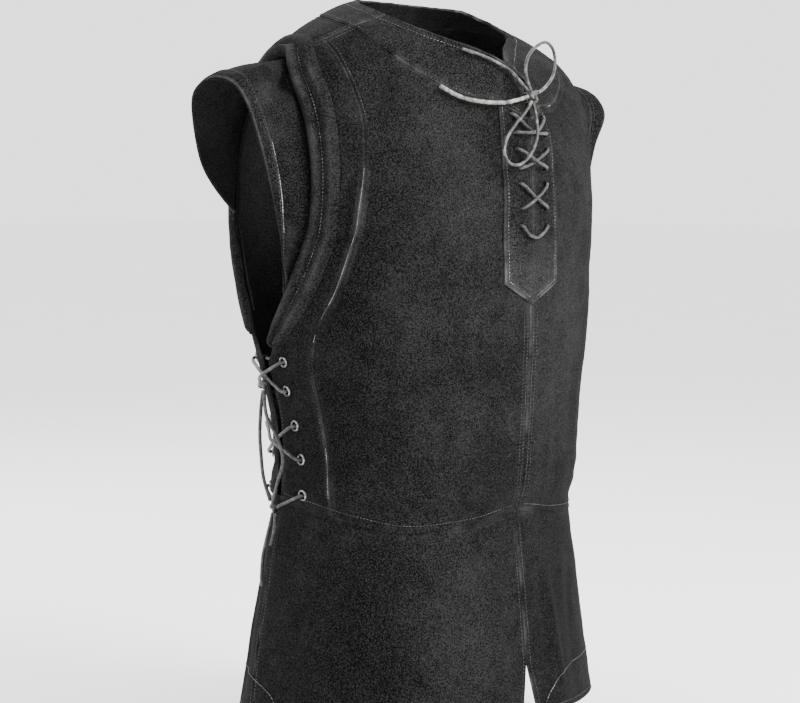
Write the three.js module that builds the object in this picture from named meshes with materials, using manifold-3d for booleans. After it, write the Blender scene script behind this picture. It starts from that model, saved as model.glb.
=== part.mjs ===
// Lace-up leather vest: a pull-over jerkin with laced front slit, laced sides, short shoulder caps and a flared skirt.
// Millimetres, +Z up, the front faces -Y, the wearer's right is -X.
// The origin lies between the inner shoulders, where the wearer holds the garment up.
import * as THREE from "three";
import { mergeVertices } from "three/addons/utils/BufferGeometryUtils.js";
import Module from "manifold-3d";

// Driving sizes
const WALL = 2.2; // leather of the panels
const SEAM = 0.3; // gap between pieces at a seam
const LIFT = 0.8; // clearance under a piece that lies on a panel
const TRIM_WALL = 2.0; // leather of the placket and of the bands
const TRUNK_TOP = -200; // level where the trunk sections end and the shoulder roof begins
const CORNER = 0.02; // squareness of the trunk sections
const MM_PER_DEGREE = 3.3; // width of one degree of turn on the trunk
const SLIT_TURN = 112; // middle of the laced side opening
const SLIT_HALF = 3; // half its width, in degrees
const SLIT_OPEN = 2.4; // half the front slit at the neck edge, in degrees
const SLIT_END = -213; // level where the front slit ends
const VENT_TOP = -627; // level where the front hem vent begins
const VENT_HALF = 11; // half the vent's width at the hem
const ROWS = 16; // rows of facets down a panel
const LOW_ROWS = 5; // of which along the side opening
const COLUMNS = 6; // columns of facets over a front panel
const BACK_COLUMNS = 12; // and over the back
const LACE = 4; // diameter of the free laces
const KNOT_GAP = 0.3; // clearance between a lace's end and its knot, on top of the knot's flats
const HELD_LACE = 3.5; // and of the laces pulled tight through their holes
const HOLE = 7.4; // diameter of the punched holes
const EYELET_HOLE = 8; // diameter of the hole under an eyelet ring
const RING_OUT = 5.8; // outer radius of an eyelet ring
const RING_IN = 4; // inner radius of an eyelet ring
const BAND_EDGE = -2; // the armhole band turns this far into the opening
const BAND_WIDTH = 31; // and reaches this far over the panels
const BAND_END_WIDTH = 13; // but less at the side opening
const CAP_FRONT = 0.72; // share of the armhole's front line where a cap ends
const CAP_BACK = 0.5; // and of its back line
const CAP_CLEAR = 3.6; // a cap starts this far inside the free edge
const BAND_RIDGE = 4.6; // height of the band's padded ridge
const BAND_END = 0.93; // share of each armhole line that the band follows
const ARM_EDGE = 3; // the panels stop this far outside the armhole's free edge
const RIM_WIDTH = 0.25; // share of a cap's depth that its rim band covers

// Trunk sections: height, half width, front and back reach
const TRUNK = [
  { at: -683, half: 197, front: -107, back: 182 },
  { at: -620, half: 189, front: -100, back: 174 },
  { at: -560, half: 181, front: -94, back: 165 },
  { at: -500, half: 173, front: -89, back: 155 },
  { at: -478, half: 170, front: -88, back: 149 },
  { at: -455, half: 174, front: -95, back: 150 },
  { at: -420, half: 174, front: -98, back: 148 },
  { at: -380, half: 177, front: -100, back: 152 },
  { at: -340, half: 185, front: -102, back: 161 },
  { at: -300, half: 193, front: -104, back: 171 },
  { at: -250, half: 200, front: -105, back: 181 },
  { at: -200, half: 204, front: -104, back: 185 },
];

// Shoulder roofs by turn from the front: neck edge point, rise above the trunk, and the way the roof leaves the neck
const ROOF_RIGHT = [
  { at: 0, neckX: 0, neckY: -97, neckZ: -65, rise: 45, outX: 0, outY: -4, outZ: -45 },
  { at: 15, neckX: 25, neckY: -92, neckZ: -48, rise: 52, outX: 9, outY: -4, outZ: -46 },
  { at: 30, neckX: 50, neckY: -81, neckZ: -36, rise: 62, outX: 18, outY: -4, outZ: -46 },
  { at: 60, neckX: 88, neckY: -50, neckZ: -20, rise: 110, outX: 55, outY: -8, outZ: -42 },
  { at: 90, neckX: 99, neckY: 0, neckZ: 0, rise: 165, outX: 104, outY: 14, outZ: -30 },
  { at: 125, neckX: 80, neckY: 48, neckZ: 14, rise: 120, outX: 75, outY: 50, outZ: -22 },
  { at: 155, neckX: 42, neckY: 66, neckZ: 18, rise: 90, outX: 35, outY: 50, outZ: -30 },
  { at: 180, neckX: 0, neckY: 71, neckZ: 19, rise: 80, outX: 0, outY: 45, outZ: -38 },
];
const ROOF_LEFT = [
  ROOF_RIGHT[0],
  { at: 5, neckX: 8, neckY: -93, neckZ: -62, rise: 47, outX: 5, outY: -8, outZ: -45 },
  { at: 15, neckX: 13, neckY: -76, neckZ: -54, rise: 54, outX: 21, outY: -20, outZ: -44 },
  { at: 30, neckX: 24, neckY: -54, neckZ: -42, rise: 72, outX: 50, outY: -38, outZ: -50 },
  { at: 60, neckX: 57, neckY: -24, neckZ: -27, rise: 125, outX: 104, outY: -40, outZ: -26 },
  { at: 90, neckX: 95, neckY: 4, neckZ: -9, rise: 175, outX: 112, outY: 10, outZ: -18 },
  ...ROOF_RIGHT.slice(5),
];

// Waist seam and neckband seam: level by turn
const WAIST = [
  { at: 0, level: -478 },
  { at: 20, level: -486 },
  { at: 46, level: -489 },
  { at: 69, level: -478 },
  { at: 90, level: -468 },
  { at: 112, level: -463 },
  { at: 145, level: -468 },
  { at: 180, level: -472 },
];
const NECK_SEAM = [
  { at: 0, level: -49 },
  { at: 10, level: -50.5 },
  { at: 22, level: -55.8 },
  { at: 32, level: -61 },
  { at: 42, level: -59.8 },
  { at: 52, level: -55 },
  { at: 62, level: -49 },
  { at: 74, level: -39 },
  { at: 86, level: -32 },
  { at: 125, level: -32 },
  { at: 180, level: -35 },
];
const HEM = [
  { at: 0, level: -678 },
  { at: 30, level: -683 },
  { at: 100, level: -679 },
  { at: 180, level: -683 },
];

// Princess seam, from the shoulder to the waist
const PRINCESS = [
  { turn: 87, level: -62 },
  { turn: 76.5, level: -79 },
  { turn: 63, level: -119 },
  { turn: 57.5, level: -160 },
  { turn: 58, level: -196 },
  { turn: 61.5, level: -224 },
  { turn: 68, level: -262 },
  { turn: 75, level: -289 },
  { turn: 82, level: -324 },
  { turn: 83.4, level: -345 },
  { turn: 83, level: -383 },
  { turn: 81, level: -420 },
  { turn: 78.5, level: -478 },
];

// Free edge of the armhole: down the front from the shoulder, and down the back
const ARM_FRONT = [
  { turn: 95, level: -95 },
  { turn: 87.5, level: -118 },
  { turn: 79.5, level: -143 },
  { turn: 75, level: -170 },
  { turn: 74.5, level: -195 },
  { turn: 78, level: -221 },
  { turn: 83, level: -246 },
  { turn: 88.5, level: -269 },
  { turn: 97.5, level: -298 },
  { turn: 107, level: -328 },
];
const ARM_BACK = [
  { turn: 95, level: -95 },
  { turn: 108, level: -97 },
  { turn: 118, level: -112 },
  { turn: 123, level: -138 },
  { turn: 123, level: -168 },
  { turn: 120, level: -200 },
  { turn: 117, level: -240 },
  { turn: 116, level: -285 },
  { turn: 115.5, level: -328 },
];

// Rims of the shoulder caps, from the front end over the top to the back end: the left arm is carried further forward
const CAP_RIM_RIGHT = [
  { x: -206, y: 27, z: -256 },
  { x: -218, y: 19, z: -214 },
  { x: -237, y: 14, z: -165 },
  { x: -252, y: 16, z: -118 },
  { x: -261, y: 34, z: -74 },
  { x: -264, y: 60, z: -67 },
  { x: -266, y: 82, z: -80 },
  { x: -259, y: 92, z: -103 },
  { x: -243, y: 98, z: -140 },
  { x: -216, y: 106, z: -168 },
  { x: -184, y: 112, z: -190 },
];
const CAP_RIM_LEFT = [
  { x: 206, y: 27, z: -256 },
  { x: 218, y: 16, z: -214 },
  { x: 237, y: 8, z: -165 },
  { x: 254, y: 6, z: -118 },
  { x: 267, y: 4, z: -86 },
  { x: 270, y: 24, z: -64 },
  { x: 268, y: 62, z: -63 },
  { x: 259, y: 92, z: -98 },
  { x: 243, y: 98, z: -140 },
  { x: 216, y: 106, z: -168 },
  { x: 184, y: 112, z: -190 },
];

// Punched holes of the front slit, from the top, and the eyelet rows of the side opening
const FRONT_HOLES = [
  { turn: 10.6, level: -61 },
  { turn: 8.7, level: -82 },
  { turn: 7.4, level: -102 },
  { turn: 6, level: -126 },
  { turn: 5.5, level: -146.5 },
  { turn: 4.9, level: -179.5 },
  { turn: 4.9, level: -203 },
];
const SIDE_ROWS = [
  { front: 97, back: 128, level: -331 },
  { front: 99, back: 126, level: -359 },
  { front: 97.5, back: 127, level: -392 },
  { front: 95, back: 129, level: -424 },
  { front: 93, back: 131, level: -458 },
];

// Outline of the placket's right half, from the neckband seam to its point
const PLACKET = [
  { turn: 16.8, level: -57 },
  { turn: 14.2, level: -91 },
  { turn: 12.4, level: -122 },
  { turn: 10.9, level: -158 },
  { turn: 10.7, level: -216 },
  { turn: 10.6, level: -258 },
];
const PLACKET_TIP = -278;

// Cross section of the armhole band: share of its width, and height of its padded ridge
const BAND_PROFILE = [
  { across: 0, height: 0 },
  { across: 0.3, height: 0.45 },
  { across: 0.68, height: 1 },
  { across: 0.92, height: 0.6 },
  { across: 1, height: 0 },
];

// Soft flutes of the skirt: turn, half width in degrees, height at the hem
const FLUTES = [
  { turn: 12, spread: 8, height: 5 },
  { turn: -14, spread: 9, height: 4 },
  { turn: -46, spread: 12, height: 4 },
  { turn: 50, spread: 12, height: 4 },
  { turn: -94, spread: 8, height: -5 },
  { turn: 92, spread: 8, height: -4 },
  { turn: -140, spread: 11, height: 6 },
  { turn: 136, spread: 12, height: 5 },
  { turn: 172, spread: 12, height: 6 },
];

// Free laces of the front bow: places on the garment's surface
const BOW_KNOT = { turn: -1, level: -22, out: 8.8, size: 7 };
const BOW_LOOP_UP = [
  { x: -9, y: -110, z: -74 },
  { x: -17, y: -112, z: -65 },
  { x: -21, y: -113, z: -53 },
  { x: -17, y: -114, z: -41 },
  { x: -6, y: -115, z: -32 },
  { x: 8, y: -115, z: -28 },
  { x: 20, y: -114, z: -34 },
  { x: 25, y: -113, z: -47 },
  { x: 21, y: -113, z: -60 },
  { x: 11, y: -111, z: -71 },
  { x: 3, y: -109, z: -76 },
];
const BOW_LOOP_DOWN = [
  { x: -9, y: -110, z: -88 },
  { x: -20, y: -111, z: -96 },
  { x: -34, y: -111, z: -107 },
  { x: -46, y: -110, z: -121 },
  { x: -49, y: -110, z: -134 },
  { x: -41, y: -111, z: -144 },
  { x: -28, y: -113.5, z: -144 },
  { x: -16, y: -116, z: -134 },
  { x: -7, y: -116, z: -119 },
  { x: -4, y: -113.5, z: -104 },
  { x: -4, y: -110, z: -92 },
];
const BOW_END_NECK = [
  { turn: -4.7, level: -18, out: 8 },
  { turn: -8, level: -14, out: 7 },
  { turn: -14, level: -11, out: 6 },
  { turn: -22, level: -10, out: 5 },
  { turn: -31, level: -10, out: 4.6 },
  { turn: -40, level: -11, out: 4.4 },
];
const BOW_END_FRONT = [
  { turn: -4.9, level: -28, out: 8.4 },
  { turn: -9.6, level: -41, out: 9 },
  { turn: -16.2, level: -56, out: 8 },
  { turn: -24, level: -63.5, out: 6 },
  { turn: -33.2, level: -67.5, out: 4.8 },
  { turn: -43, level: -64, out: 4.4 },
];

// Free laces of a side opening, on the wearer's right
const UPPER_KNOT = { turn: SLIT_TURN, level: -352.8, out: 6, size: 6 };
const LOWER_KNOT = { turn: SLIT_TURN - 2, level: -472, out: 8, size: 6.5 };
const SLACK_BACK = [
  { turn: 112.9, level: -359.8, out: 8 },
  { turn: 113.8, level: -369, out: 11 },
  { turn: 115, level: -384, out: 14 },
  { turn: 117.5, level: -403, out: 15 },
  { turn: 118, level: -424, out: 14.5 },
  { turn: 115, level: -445, out: 13 },
  { turn: 111.7, level: -464, out: 10.5 },
];
const SLACK_FRONT = [
  { turn: 110.8, level: -359.6, out: 8.5 },
  { turn: 109.8, level: -370, out: 12 },
  { turn: 108, level: -384, out: 14 },
  { turn: 102.6, level: -402, out: 13.5 },
  { turn: 99.4, level: -424, out: 13 },
  { turn: 102, level: -446, out: 13 },
  { turn: 108.4, level: -464.5, out: 11 },
];
const END_LONG = [
  { turn: 110.6, level: -480, out: 8.5 },
  { turn: 111.6, level: -492, out: 7.5 },
  { turn: 113.5, level: -508, out: 6.5 },
  { turn: 114.5, level: -524, out: 6.5 },
  { turn: 113, level: -540, out: 6.5 },
  { turn: 111.5, level: -551, out: 6.5 },
];
const END_SHORT = [
  { turn: 108.2, level: -480, out: 8.5 },
  { turn: 107.4, level: -488, out: 7.8 },
  { turn: 107, level: -499, out: 6.8 },
  { turn: 108, level: -511, out: 6.4 },
];

const LEATHER = { color: 0x2b2a2c, roughness: 0.85, metalness: 0 };
const SUEDE = { color: 0x343336, roughness: 0.95, metalness: 0 };
const LACING = { color: 0x8b877f, roughness: 0.8, metalness: 0 };
const METAL = { color: 0x9a9a98, roughness: 0.35, metalness: 1 };

const wasm = await Module();
wasm.setup();

const lerp = THREE.MathUtils.lerp;
const vest = new THREE.Group();

// Smooth reading of a table's column; an odd column keeps its slope at both ends, an even one is flat there
function read(table, at, column, even = false) {
  const last = table.length - 1;
  const x = Math.min(Math.max(at, table[0].at), table[last].at);
  let i = 0;
  while (i < last - 1 && x > table[i + 1].at) i += 1;
  const slope = (k) => {
    if (even && (k === 0 || k === last)) return 0;
    const a = table[Math.max(k - 1, 0)];
    const b = table[Math.min(k + 1, last)];
    return (b[column] - a[column]) / (b.at - a.at);
  };
  const p = table[i];
  const q = table[i + 1];
  const h = q.at - p.at;
  const t = (x - p.at) / h;
  const from = (2 * t ** 3 - 3 * t * t + 1) * p[column] + (t ** 3 - 2 * t * t + t) * h * slope(i);
  const to = (3 * t * t - 2 * t ** 3) * q[column] + (t ** 3 - t * t) * h * slope(i + 1);
  return from + to;
}

// Signed turn between -180 and 180
function wrap(turn) {
  return turn > 180 ? turn - 360 : turn;
}

// A trunk section's point
function trunk(turn, z) {
  const half = read(TRUNK, z, "half");
  const front = read(TRUNK, z, "front");
  const back = read(TRUNK, z, "back");
  const a = THREE.MathUtils.degToRad(turn);
  const across = (Math.sin(a) + CORNER * Math.sin(3 * a)) / (1 - CORNER);
  const along = (Math.cos(a) - CORNER * Math.cos(3 * a)) / (1 - CORNER);
  return new THREE.Vector3(half * across, (front + back) / 2 - ((back - front) / 2) * along, z);
}

// The garment's outer surface: trunk sections below, and a curved roof up to the neck edge above
function surface(turn, level) {
  const signed = wrap(turn);
  if (level <= TRUNK_TOP) return trunk(signed, level);
  const at = Math.abs(signed);
  const side = signed < 0 ? -1 : 1;
  const roof = signed < 0 ? ROOF_RIGHT : ROOF_LEFT;
  const start = trunk(signed, TRUNK_TOP);
  const end = new THREE.Vector3(
    side * read(roof, at, "neckX"),
    read(roof, at, "neckY", true),
    read(roof, at, "neckZ", true),
  );
  const up = start.clone();
  up.z += read(roof, at, "rise", true);
  const out = end.clone();
  out.x += side * read(roof, at, "outX");
  out.y += read(roof, at, "outY", true);
  out.z += read(roof, at, "outZ", true);
  return new THREE.CubicBezierCurve3(start, up, out, end).getPoint(1 - level / TRUNK_TOP);
}

// A place on the surface, moved out along its normal
function place(turn, level, out = 0) {
  const a = surface(turn - 0.5, level);
  const b = surface(turn + 0.5, level);
  const c = surface(turn, Math.min(level + 1, 0));
  const d = surface(turn, level - 1);
  const normal = b.sub(a).cross(c.sub(d)).normalize();
  return surface(turn, level).addScaledVector(normal, out);
}

// How far the skirt's flutes stand out
function flute(turn, level) {
  const signed = wrap(turn);
  const top = read(WAIST, Math.abs(signed), "level", true);
  const drop = Math.max(0, (top - level) / (top - TRUNK[0].at));
  let out = 0;
  for (const f of FLUTES) out += f.height * Math.exp(-(((signed - f.turn) / f.spread) ** 2));
  return out * drop ** 1.5;
}

// A seam line: a smooth curve through named places, read by its share of length
function line(rows) {
  const flat = rows.map((r) => new THREE.Vector2(r.turn * MM_PER_DEGREE, r.level));
  const curve = new THREE.SplineCurve(flat);
  curve.arcLengthDivisions = 400;
  return (share, aside = 0) => {
    const p = curve.getPointAt(share);
    const t = curve.getTangentAt(share);
    return { turn: (p.x - aside * t.y) / MM_PER_DEGREE, level: p.y + aside * t.x };
  };
}

// Even steps from 0 to 1
function steps(count) {
  return Array.from({ length: count + 1 }, (_, i) => i / count);
}

// The grid between four edges that share corners
function patch(top, bottom, left, right) {
  const rows = left.length - 1;
  const columns = top.length - 1;
  const mix = (a, b, t, key) => lerp(a[key], b[key], t);
  return left.map((_, i) =>
    top.map((__, j) => {
      const t = i / rows;
      const s = j / columns;
      const point = {};
      for (const key of ["turn", "level"]) {
        const corners = lerp(
          mix(top[0], top[columns], s, key),
          mix(bottom[0], bottom[columns], s, key),
          t,
        );
        point[key] = mix(top[j], bottom[j], t, key) + mix(left[i], right[i], s, key) - corners;
      }
      return point;
    }),
  );
}

// A closed solid from an inner and an outer grid of points, its faces turned outwards
function closed(inner, outer) {
  const rows = inner.length;
  const columns = inner[0].length;
  const points = [...outer.flat(), ...inner.flat()];
  const far = rows * columns;
  const index = [];
  const at = (i, j) => i * columns + j;
  const quad = (a, b, c, d) => index.push(a, b, c, a, c, d);
  for (let i = 0; i < rows - 1; i += 1) {
    for (let j = 0; j < columns - 1; j += 1) {
      const [a, b, c, d] = [at(i, j), at(i + 1, j), at(i + 1, j + 1), at(i, j + 1)];
      quad(a, b, c, d);
      quad(far + a, far + d, far + c, far + b);
    }
  }
  const rim = [];
  for (let j = 0; j < columns - 1; j += 1) rim.push([at(0, j + 1), at(0, j)]);
  for (let i = 0; i < rows - 1; i += 1) rim.push([at(i, 0), at(i + 1, 0)]);
  for (let j = 0; j < columns - 1; j += 1) rim.push([at(rows - 1, j), at(rows - 1, j + 1)]);
  for (let i = rows - 1; i > 0; i -= 1) rim.push([at(i, columns - 1), at(i - 1, columns - 1)]);
  for (const [a, b] of rim) quad(b, a, far + a, far + b);
  let volume = 0;
  for (let k = 0; k < index.length; k += 3) {
    const [p, q, r] = [points[index[k]], points[index[k + 1]], points[index[k + 2]]];
    volume += p.dot(q.clone().cross(r));
  }
  if (volume < 0) index.reverse();
  const geometry = new THREE.BufferGeometry();
  geometry.setAttribute("position", new THREE.Float32BufferAttribute(points.flatMap((p) => p.toArray()), 3));
  geometry.setIndex(index);
  return geometry;
}

// A leather wall on the garment's surface between two distances
function wall(grid, inner, outer, extra = () => 0) {
  const layer = (out) =>
    grid.map((row, i) =>
      row.map((p, j) => place(p.turn, p.level, out(i, j) + extra(p.turn, p.level))),
    );
  return closed(layer(inner), layer(outer));
}

// The same grid on the wearer's left
function mirrored(grid) {
  return grid.map((row) => row.map((p) => ({ ...p, turn: -p.turn })));
}

// A named piece of the vest
function piece(name, geometry, finish) {
  geometry.computeVertexNormals();
  const mesh = new THREE.Mesh(geometry, new THREE.MeshStandardMaterial(finish));
  mesh.name = name;
  vest.add(mesh);
  return mesh;
}

// A manifold solid of a closed geometry
function solid(geometry) {
  const bare = geometry.clone();
  bare.deleteAttribute("normal");
  bare.deleteAttribute("uv");
  const merged = mergeVertices(bare, 1e-4);
  return new wasm.Manifold(
    new wasm.Mesh({
      numProp: 3,
      vertProperties: merged.attributes.position.array,
      triVerts: new Uint32Array(merged.index.array),
    }),
  );
}

// A geometry of a manifold solid
function geometryOf(made) {
  const mesh = made.getMesh();
  const geometry = new THREE.BufferGeometry();
  geometry.setAttribute("position", new THREE.BufferAttribute(mesh.vertProperties, 3));
  geometry.setIndex(new THREE.BufferAttribute(mesh.triVerts, 1));
  return geometry;
}

// The geometry with round holes punched at the given places
function punched(geometry, holes, diameter) {
  let made = solid(geometry);
  for (const hole of holes) {
    const middle = place(hole.turn, hole.level, 0);
    const outside = place(hole.turn, hole.level, 1).sub(middle);
    const punch = new THREE.CylinderGeometry(diameter / 2, diameter / 2, 24, 6);
    punch.applyQuaternion(new THREE.Quaternion().setFromUnitVectors(new THREE.Vector3(0, 1, 0), outside));
    punch.translate(middle.x, middle.y, middle.z);
    made = made.subtract(solid(punch));
  }
  return geometryOf(made);
}

// A lace: a round tube along a smooth curve through its points
function tube(points, count, diameter = LACE, sides = 8) {
  const curve = new THREE.CatmullRomCurve3(points, false, "centripetal");
  curve.arcLengthDivisions = 1200;
  const round = Array.from({ length: sides }, (_, k) => {
    const a = (k / sides) * 2 * Math.PI;
    return new THREE.Vector2((Math.cos(a) * diameter) / 2, (Math.sin(a) * diameter) / 2);
  });
  return new THREE.ExtrudeGeometry(new THREE.Shape(round), { steps: count, extrudePath: curve });
}

// The points of a table of places, on the wearer's right or left
function route(rows, side = 1) {
  return rows.map((r) =>
    r.x === undefined ? place(side * r.turn, r.level, r.out) : new THREE.Vector3(r.x, r.y, r.z),
  );
}

// Seam lines shared by the panels
const princess = line(PRINCESS);
const armFront = line(ARM_FRONT);
const armBack = line(ARM_BACK);
const half = SEAM / 2;
const sideFront = SLIT_TURN - SLIT_HALF;
const sideBack = SLIT_TURN + SLIT_HALF;
const waistAt = (turn) => read(WAIST, Math.abs(wrap(turn)), "level", true);
const neckAt = (turn) => read(NECK_SEAM, Math.abs(wrap(turn)), "level", true);
const hemAt = (turn) => read(HEM, Math.abs(wrap(turn)), "level", true);
const shoulderNeck = { turn: 86, level: neckAt(86) };
const shoulderPrincess = PRINCESS[0];
const shoulderArm = armFront(0, -ARM_EDGE);
const waistCentre = steps(COLUMNS).map((s) => s * PRINCESS[PRINCESS.length - 1].turn);
const waistSide = steps(4).map((s) => lerp(PRINCESS[PRINCESS.length - 1].turn, sideFront, s));
const waistBack = steps(BACK_COLUMNS).map((s) => lerp(sideBack, 360 - sideBack, s));
const shoulderTurn = { front: shoulderNeck.turn - 0.05, back: shoulderNeck.turn + 0.15 };

// Half the front slit's width at a level, in degrees
function slitHalf(level) {
  const open = Math.max(0, (level - SLIT_END) / (0 - SLIT_END));
  return 0.05 + SLIT_OPEN * open;
}

// Turns of the neckband seam's points, shared by the band and the panels under it
const neckFront = steps(COLUMNS).map((s) => lerp(slitHalf(neckAt(0)), shoulderTurn.front, s));
const neckBack = steps(BACK_COLUMNS).map((s) => lerp(shoulderTurn.back, 360 - shoulderTurn.back, s));

// The edge proud of the skirt at a panel's bottom rows
function proud(rows) {
  return (i) => (i >= rows - 1 ? 1.4 : 0);
}

function frontCentre() {
  const shoulder = steps(2).map((s) => ({
    turn: lerp(shoulderNeck.turn, shoulderPrincess.turn, s) - 0.05,
    level: lerp(shoulderNeck.level - half, shoulderPrincess.level, s),
  }));
  const seam = steps(ROWS).slice(1).map((s) => princess(s, -half));
  const right = [...shoulder, ...seam];
  const last = right.length - 1;
  right[last] = { turn: right[last].turn, level: waistAt(right[last].turn) + half };
  const left = right.map((_, i) => {
    const level = lerp(neckAt(0) - half, waistAt(0) + half, i / last);
    return { turn: slitHalf(level), level };
  });
  const top = neckFront.map((turn) => ({ turn, level: neckAt(turn) - half }));
  const bottom = waistCentre.map((turn) => ({ turn, level: waistAt(turn) + half }));
  bottom[0] = left[last];
  bottom[COLUMNS] = right[last];
  return patch(top, bottom, left, right);
}

function frontSide() {
  const left = steps(ROWS).map((s) => princess(s, half));
  const armhole = steps(ROWS - LOW_ROWS).map((s) => armFront(s, -ARM_EDGE));
  const low = steps(LOW_ROWS).slice(1).map((s) => ({
    turn: sideFront,
    level: lerp(armhole[ROWS - LOW_ROWS].level, waistAt(sideFront) + half, s),
  }));
  const right = [...armhole, ...low];
  left[ROWS] = { turn: left[ROWS].turn, level: waistAt(left[ROWS].turn) + half };
  left[0] = { turn: shoulderPrincess.turn + 0.1, level: shoulderPrincess.level - half };
  const top = steps(4).map((s) => ({
    turn: lerp(left[0].turn, right[0].turn, s),
    level: lerp(left[0].level, right[0].level, s),
  }));
  const bottom = waistSide.map((turn) => ({ turn, level: waistAt(turn) + half }));
  bottom[0] = left[ROWS];
  return patch(top, bottom, left, right);
}

// One half of the back, up to the centre back seam
function backPanel() {
  const start = { turn: shoulderTurn.back, level: shoulderNeck.level - half };
  const corner = armBack(0, ARM_EDGE);
  const shoulder = [
    start,
    { turn: lerp(shoulderNeck.turn, shoulderPrincess.turn, 0.5) + 0.15, level: lerp(start.level, -62, 0.5) },
    { turn: shoulderPrincess.turn + 0.25, level: shoulderPrincess.level },
    { turn: lerp(shoulderPrincess.turn, corner.turn, 0.5) + 0.2, level: lerp(-62, corner.level, 0.5) },
  ];
  const armhole = steps(ROWS - LOW_ROWS).map((s) => armBack(s, ARM_EDGE));
  armhole[0] = { turn: shoulderArm.turn + 0.3, level: shoulderArm.level };
  const low = steps(LOW_ROWS).slice(1).map((s) => ({
    turn: sideBack,
    level: lerp(armhole[ROWS - LOW_ROWS].level, waistAt(sideBack) + half, s),
  }));
  const left = [...shoulder, ...armhole, ...low];
  const right = left.map((p) => ({ turn: 360 - p.turn, level: p.level }));
  const top = neckBack.map((turn) => ({ turn, level: neckAt(turn) - half }));
  const bottom = waistBack.map((turn) => ({ turn, level: waistAt(turn) + half }));
  const whole = patch(top, bottom, left, right);
  return whole.map((row) => {
    const kept = row.slice(0, BACK_COLUMNS / 2);
    return [...kept, { turn: 180 - 0.05, level: row[BACK_COLUMNS / 2].level }];
  });
}

// A skirt panel between two lines of turn at the waist and at the hem
function skirt(turns, opening = () => 0) {
  const rows = steps(8);
  return rows.map((t) =>
    turns.map((turn) => {
      const level = lerp(waistAt(turn) - half, hemAt(turn), t);
      return { turn: turn + opening(turn, level), level };
    }),
  );
}

// The neckband over the given turns
function neckband(turns) {
  return steps(3).map((t) => turns.map((turn) => ({ turn, level: lerp(0, neckAt(turn) + half, t) })));
}

// The band round the armhole, from the side opening's front over the shoulder to its back
function armholeBand() {
  const front = steps(15).reverse().map((s) => ({ edge: armFront, share: s * BAND_END, sign: -1 }));
  const back = steps(15).slice(1).map((s) => ({ edge: armBack, share: s * BAND_END, sign: 1 }));
  return [...front, ...back].map((p) => {
    const width = lerp(BAND_WIDTH, BAND_END_WIDTH, Math.max(0, (p.share - 0.6) / 0.4));
    return BAND_PROFILE.map((b) => p.edge(p.share, p.sign * lerp(BAND_EDGE, width, b.across)));
  });
}

function bandHeight(i, j) {
  return LIFT + TRIM_WALL + BAND_RIDGE * BAND_PROFILE[j].height;
}

// A shoulder cap's middle surface: from inside the armhole's edge out to its rim
const rimCurve = (rows) => new THREE.CatmullRomCurve3(rows.map((p) => new THREE.Vector3(p.x, p.y, p.z)));
const capRims = { right: rimCurve(CAP_RIM_RIGHT), left: rimCurve(CAP_RIM_LEFT) };
function capMiddle(sign, share, depth) {
  const at = THREE.MathUtils.clamp(share, 0, 1);
  const tip = (sign < 0 ? capRims.right : capRims.left).getPointAt(at);
  const aim = capRims.right.getPointAt(at);
  aim.x *= -sign;
  const base = share < 0.5
    ? armFront(lerp(CAP_FRONT, 0, share * 2), CAP_CLEAR)
    : armBack(lerp(0, CAP_BACK, share * 2 - 1), -CAP_CLEAR);
  const root = place(sign * base.turn, base.level, -1);
  const ahead = place(sign * base.turn, base.level, 0).sub(root);
  const bulge = 3 + 9 * Math.sin(Math.PI * share);
  const knee = root.clone().lerp(aim, 0.45).addScaledVector(ahead, bulge);
  return new THREE.QuadraticBezierCurve3(root, knee, tip).getPoint(depth);
}

// A point of the cap, moved out along its normal
function capPoint(sign, share, depth, out) {
  const near = Math.min(Math.max(share, 0.01), 0.99);
  const along = capMiddle(sign, near + 0.01, depth).sub(capMiddle(sign, near - 0.01, depth));
  const outwards = capMiddle(sign, near, depth + 0.02).sub(capMiddle(sign, near, depth - 0.02));
  return capMiddle(sign, share, depth).addScaledVector(along.cross(outwards).normalize(), -sign * out);
}

// A strip of the cap between two depths and two distances from its middle
function capStrip(sign, from, to, rows, inner, outer) {
  const layer = (out) =>
    steps(24).map((share) =>
      steps(rows).map((s) => capPoint(sign, share, lerp(from, to, s), out)),
    );
  return closed(layer(inner), layer(outer));
}

// One half of the placket's grid, widened from the slit to its outline
function placket() {
  const outline = line(PLACKET);
  const rows = steps(12).map((s) => outline(s));
  const grid = rows.map((edge, i) => {
    const dip = Math.max(0, (i - 8) / 4) ** 1.5;
    return [-1, -0.72, -0.36, 0, 0.36, 0.72, 1].map((s) => ({
      turn: s * edge.turn,
      level: edge.level + dip * (1 - Math.abs(s)) * (PLACKET_TIP - PLACKET[5].level),
    }));
  });
  return grid;
}

// A wedge that opens the placket along the front slit
function slitWedge() {
  const top = place(0, -30, 0);
  const low = place(0, SLIT_END, 0);
  const wedge = new THREE.Shape([
    new THREE.Vector2(-5.2, top.z + 12),
    new THREE.Vector2(-0.4, low.z),
    new THREE.Vector2(0.4, low.z),
    new THREE.Vector2(5.2, top.z + 12),
  ]);
  const blade = new THREE.ExtrudeGeometry(wedge, { depth: 60, bevelEnabled: false });
  blade.rotateX(Math.PI / 2);
  const turned = blade.attributes.position;
  for (let k = 0; k < turned.count; k += 1) {
    const x = turned.getX(k);
    const y = turned.getY(k);
    const z = turned.getZ(k);
    turned.setXYZ(k, x, y - 80, z);
  }
  return blade;
}

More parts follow.
